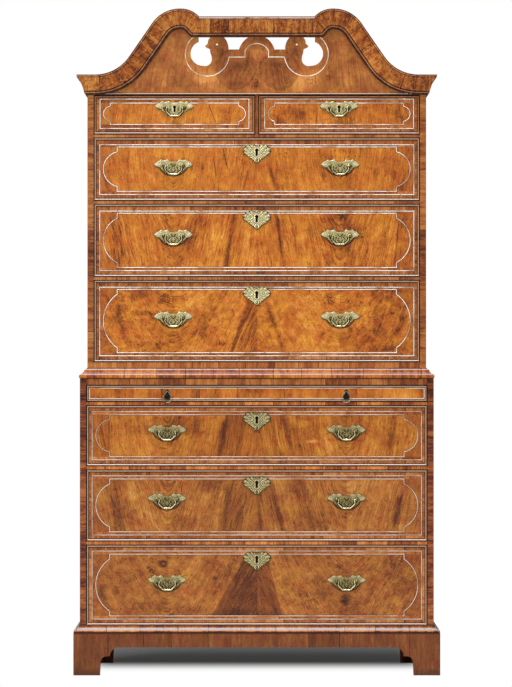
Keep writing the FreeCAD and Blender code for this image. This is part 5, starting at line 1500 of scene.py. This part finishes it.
def finishes():
    dress(caseWalnut(), "lower_case_boards", "upper_case_boards", "drawer_rails")
    for name in mouldings:
        dress(mouldingWalnut(name), f"{name}_moulding")
    dress(archedWalnut(), "pediment_moulding")
    dress(pedimentWalnut(), "pediment_board")
    dress(plinthWalnut(), "bracket_plinth")
    dress(plainWood("oak_boards", (122, 88, 54), (166, 128, 84), 0), "dustboards_and_stops")
    dress(plainWood("pine_backboards", (112, 82, 54), (156, 120, 82), 2, 0.7), "backboards")
    oak, iron = drawerOak(), plainWood("iron", (60, 58, 56), (104, 100, 96), 2, 0.4)
    for name in allDrawers:
        dress(drawerVeneer(name), f"drawer_{name}_front")
        dress(oak, f"drawer_{name}_box")
        shown = nodeBox(f"drawer_{name}_front")[0].y + frontShape["proud"] + 0.5
        dress(turnedBrass(f"brass_{name}", (150, 136, 88), (48, 38, 22), shown), f"drawer_{name}_brass")
        dress(iron, f"bolt_{name}")
    dress(slideVeneer(), "slide_board")
    dress(turnedBrass("brass_darkened", (66, 56, 46), (20, 17, 15)), "slide_ring_posts")
    dress(turnedBrass("brass_rings", (196, 182, 160), (92, 80, 66)), "ring_left", "ring_right")
    say("walnut, oak and brass finished")


# Stage, lights and camera

stageShape = {
    "floor": 9.0, "clear": (1200, 3600), "flatten": 0.6, "worldLight": 0.2,
    "shadow": {"beside": (545, 430), "start": (-60, 340), "end": (1700, 1100), "front": (-200, 160),
               "far": (2100, 1500), "real": 0.2, "tone": (40, 40, 40)},
}
cameraShape = {  # metres and pixels of the picture; the plane is the upright one that keeps its scale
    "distance": 14.0, "plane": -0.262, "pixel": 2.86, "height": 687, "floorRow": 675.0, "middle": 256,
    "centreColumn": 256.8, "sensor": 36,
}
lamps = {  # place, target, size in metres and power in watts
    "key": ((-2.6, -5.0, 2.8), (0, 0, 0.9), 2.6, 105),
    "fill": ((3.2, -5.4, 1.6), (0, 0, 0.9), 2.6, 42),
    "top": ((-0.3, -1.25, 5.2), (0, -0.5, 0), 1.6, 215),
}
white = (1, 1, 1, 1)


def stage():
    # the camera sees an evenly white floor with a painted shadow under and behind the chest, through which a
    # little of the real shadow shows, and from below it sees none; light falls on a plain white one
    shader, shape = Shader("floor_white"), stageShape["shadow"]
    x, y, _ = shader.place()

    def either(factor, first, second):
        return shader.node("MixShader", {}, [factor, first, second])

    cloth = shader.node("BsdfDiffuse", {}, {"Color": white})
    clear = shader.node("BsdfTransparent", {}, {})
    away = (x * x + y * y * stageShape["flatten"]).root()
    lit = either(away.smooth(*stageShape["clear"]), cloth, clear)
    beside = abs(x).smooth(*shape["beside"])
    behind = y.smooth(*shape["start"]) * y.smooth(*shape["end"])
    # the painted shadow: the floor glows dark grey near and behind the chest
    glow = shader.node("Emission", {}, {
        "Color": shader.mix(beside * behind, white, shape["tone"]), "Strength": 1.0,
    })
    close = beside * y.smooth(*shape["front"]) * y.smooth(*shape["far"])
    seen = either(close * shape["real"], glow, cloth)
    surface = either(shader.node("LightPath", {}, {}, "Is Camera Ray"), lit, seen)
    surface = either(shader.node("NewGeometry", {}, {}, "Backfacing"), surface, clear)
    shader.node("OutputMaterial", {}, {"Surface": surface})
    half = stageShape["floor"] / 2
    corners = [(-half, -half, 0), (half, -half, 0), (half, half, 0), (-half, half, 0)]
    mesh = bpy.data.meshes.new("floor")
    mesh.from_pydata(corners, [], [(0, 1, 2, 3)])
    mesh.materials.append(shader.owner)
    floor = placed(bpy.data.objects.new("floor", mesh))

    world = bpy.data.worlds.new("studio")
    bpy.context.scene.world = world
    sky = Shader("studio", world)
    seen = sky.node("LightPath", {}, {}, "Is Camera Ray")
    through = sky.node("LightPath", {}, {}, "Is Transmission Ray")
    strength = seen.most(through).between(stageShape["worldLight"], 1.0)
    background = sky.node("Background", {}, {"Color": white, "Strength": strength})
    sky.node("OutputWorld", {}, {"Surface": background})


def lighting():
    for name, (place, target, size, power) in lamps.items():
        light = bpy.data.lights.new(name, "AREA")
        light.size = size
        light.energy = power
        holder = placed(bpy.data.objects.new(name, light))
        holder.location = place
        holder.rotation_euler = (Vector(target) - Vector(place)).to_track_quat("-Z", "Y").to_euler()


def camera():
    # one pixel shows the same length everywhere on an upright plane near the drawers' fronts
    shape = cameraShape
    pixel = shape["pixel"] * mm
    data = bpy.data.cameras.new("camera")
    data.sensor_fit = "VERTICAL"
    data.sensor_height = shape["sensor"]
    data.lens = data.sensor_height * (shape["distance"] + shape["plane"]) / (shape["height"] * pixel)
    holder = placed(bpy.data.objects.new("camera", data))
    sideways = (shape["middle"] - shape["centreColumn"]) * pixel
    holder.location = (sideways, -shape["distance"], (shape["floorRow"] - shape["height"] / 2) * pixel)
    holder.rotation_euler = (math.pi / 2, 0, 0)
    bpy.context.scene.camera = holder
    say("camera set")


stage()
lighting()
camera()
bpy.context.scene.view_settings.view_transform = "Standard"
finishes()
stringing()
mounts(brassFinish("brass_bright", (250, 242, 200), (190, 176, 118), (46, 36, 20)),
       brassFinish("brass_dull", (214, 204, 158), (146, 130, 82), (38, 30, 18)))
bails(turnedBrass("brass_bails", (244, 238, 190), (150, 136, 84)))
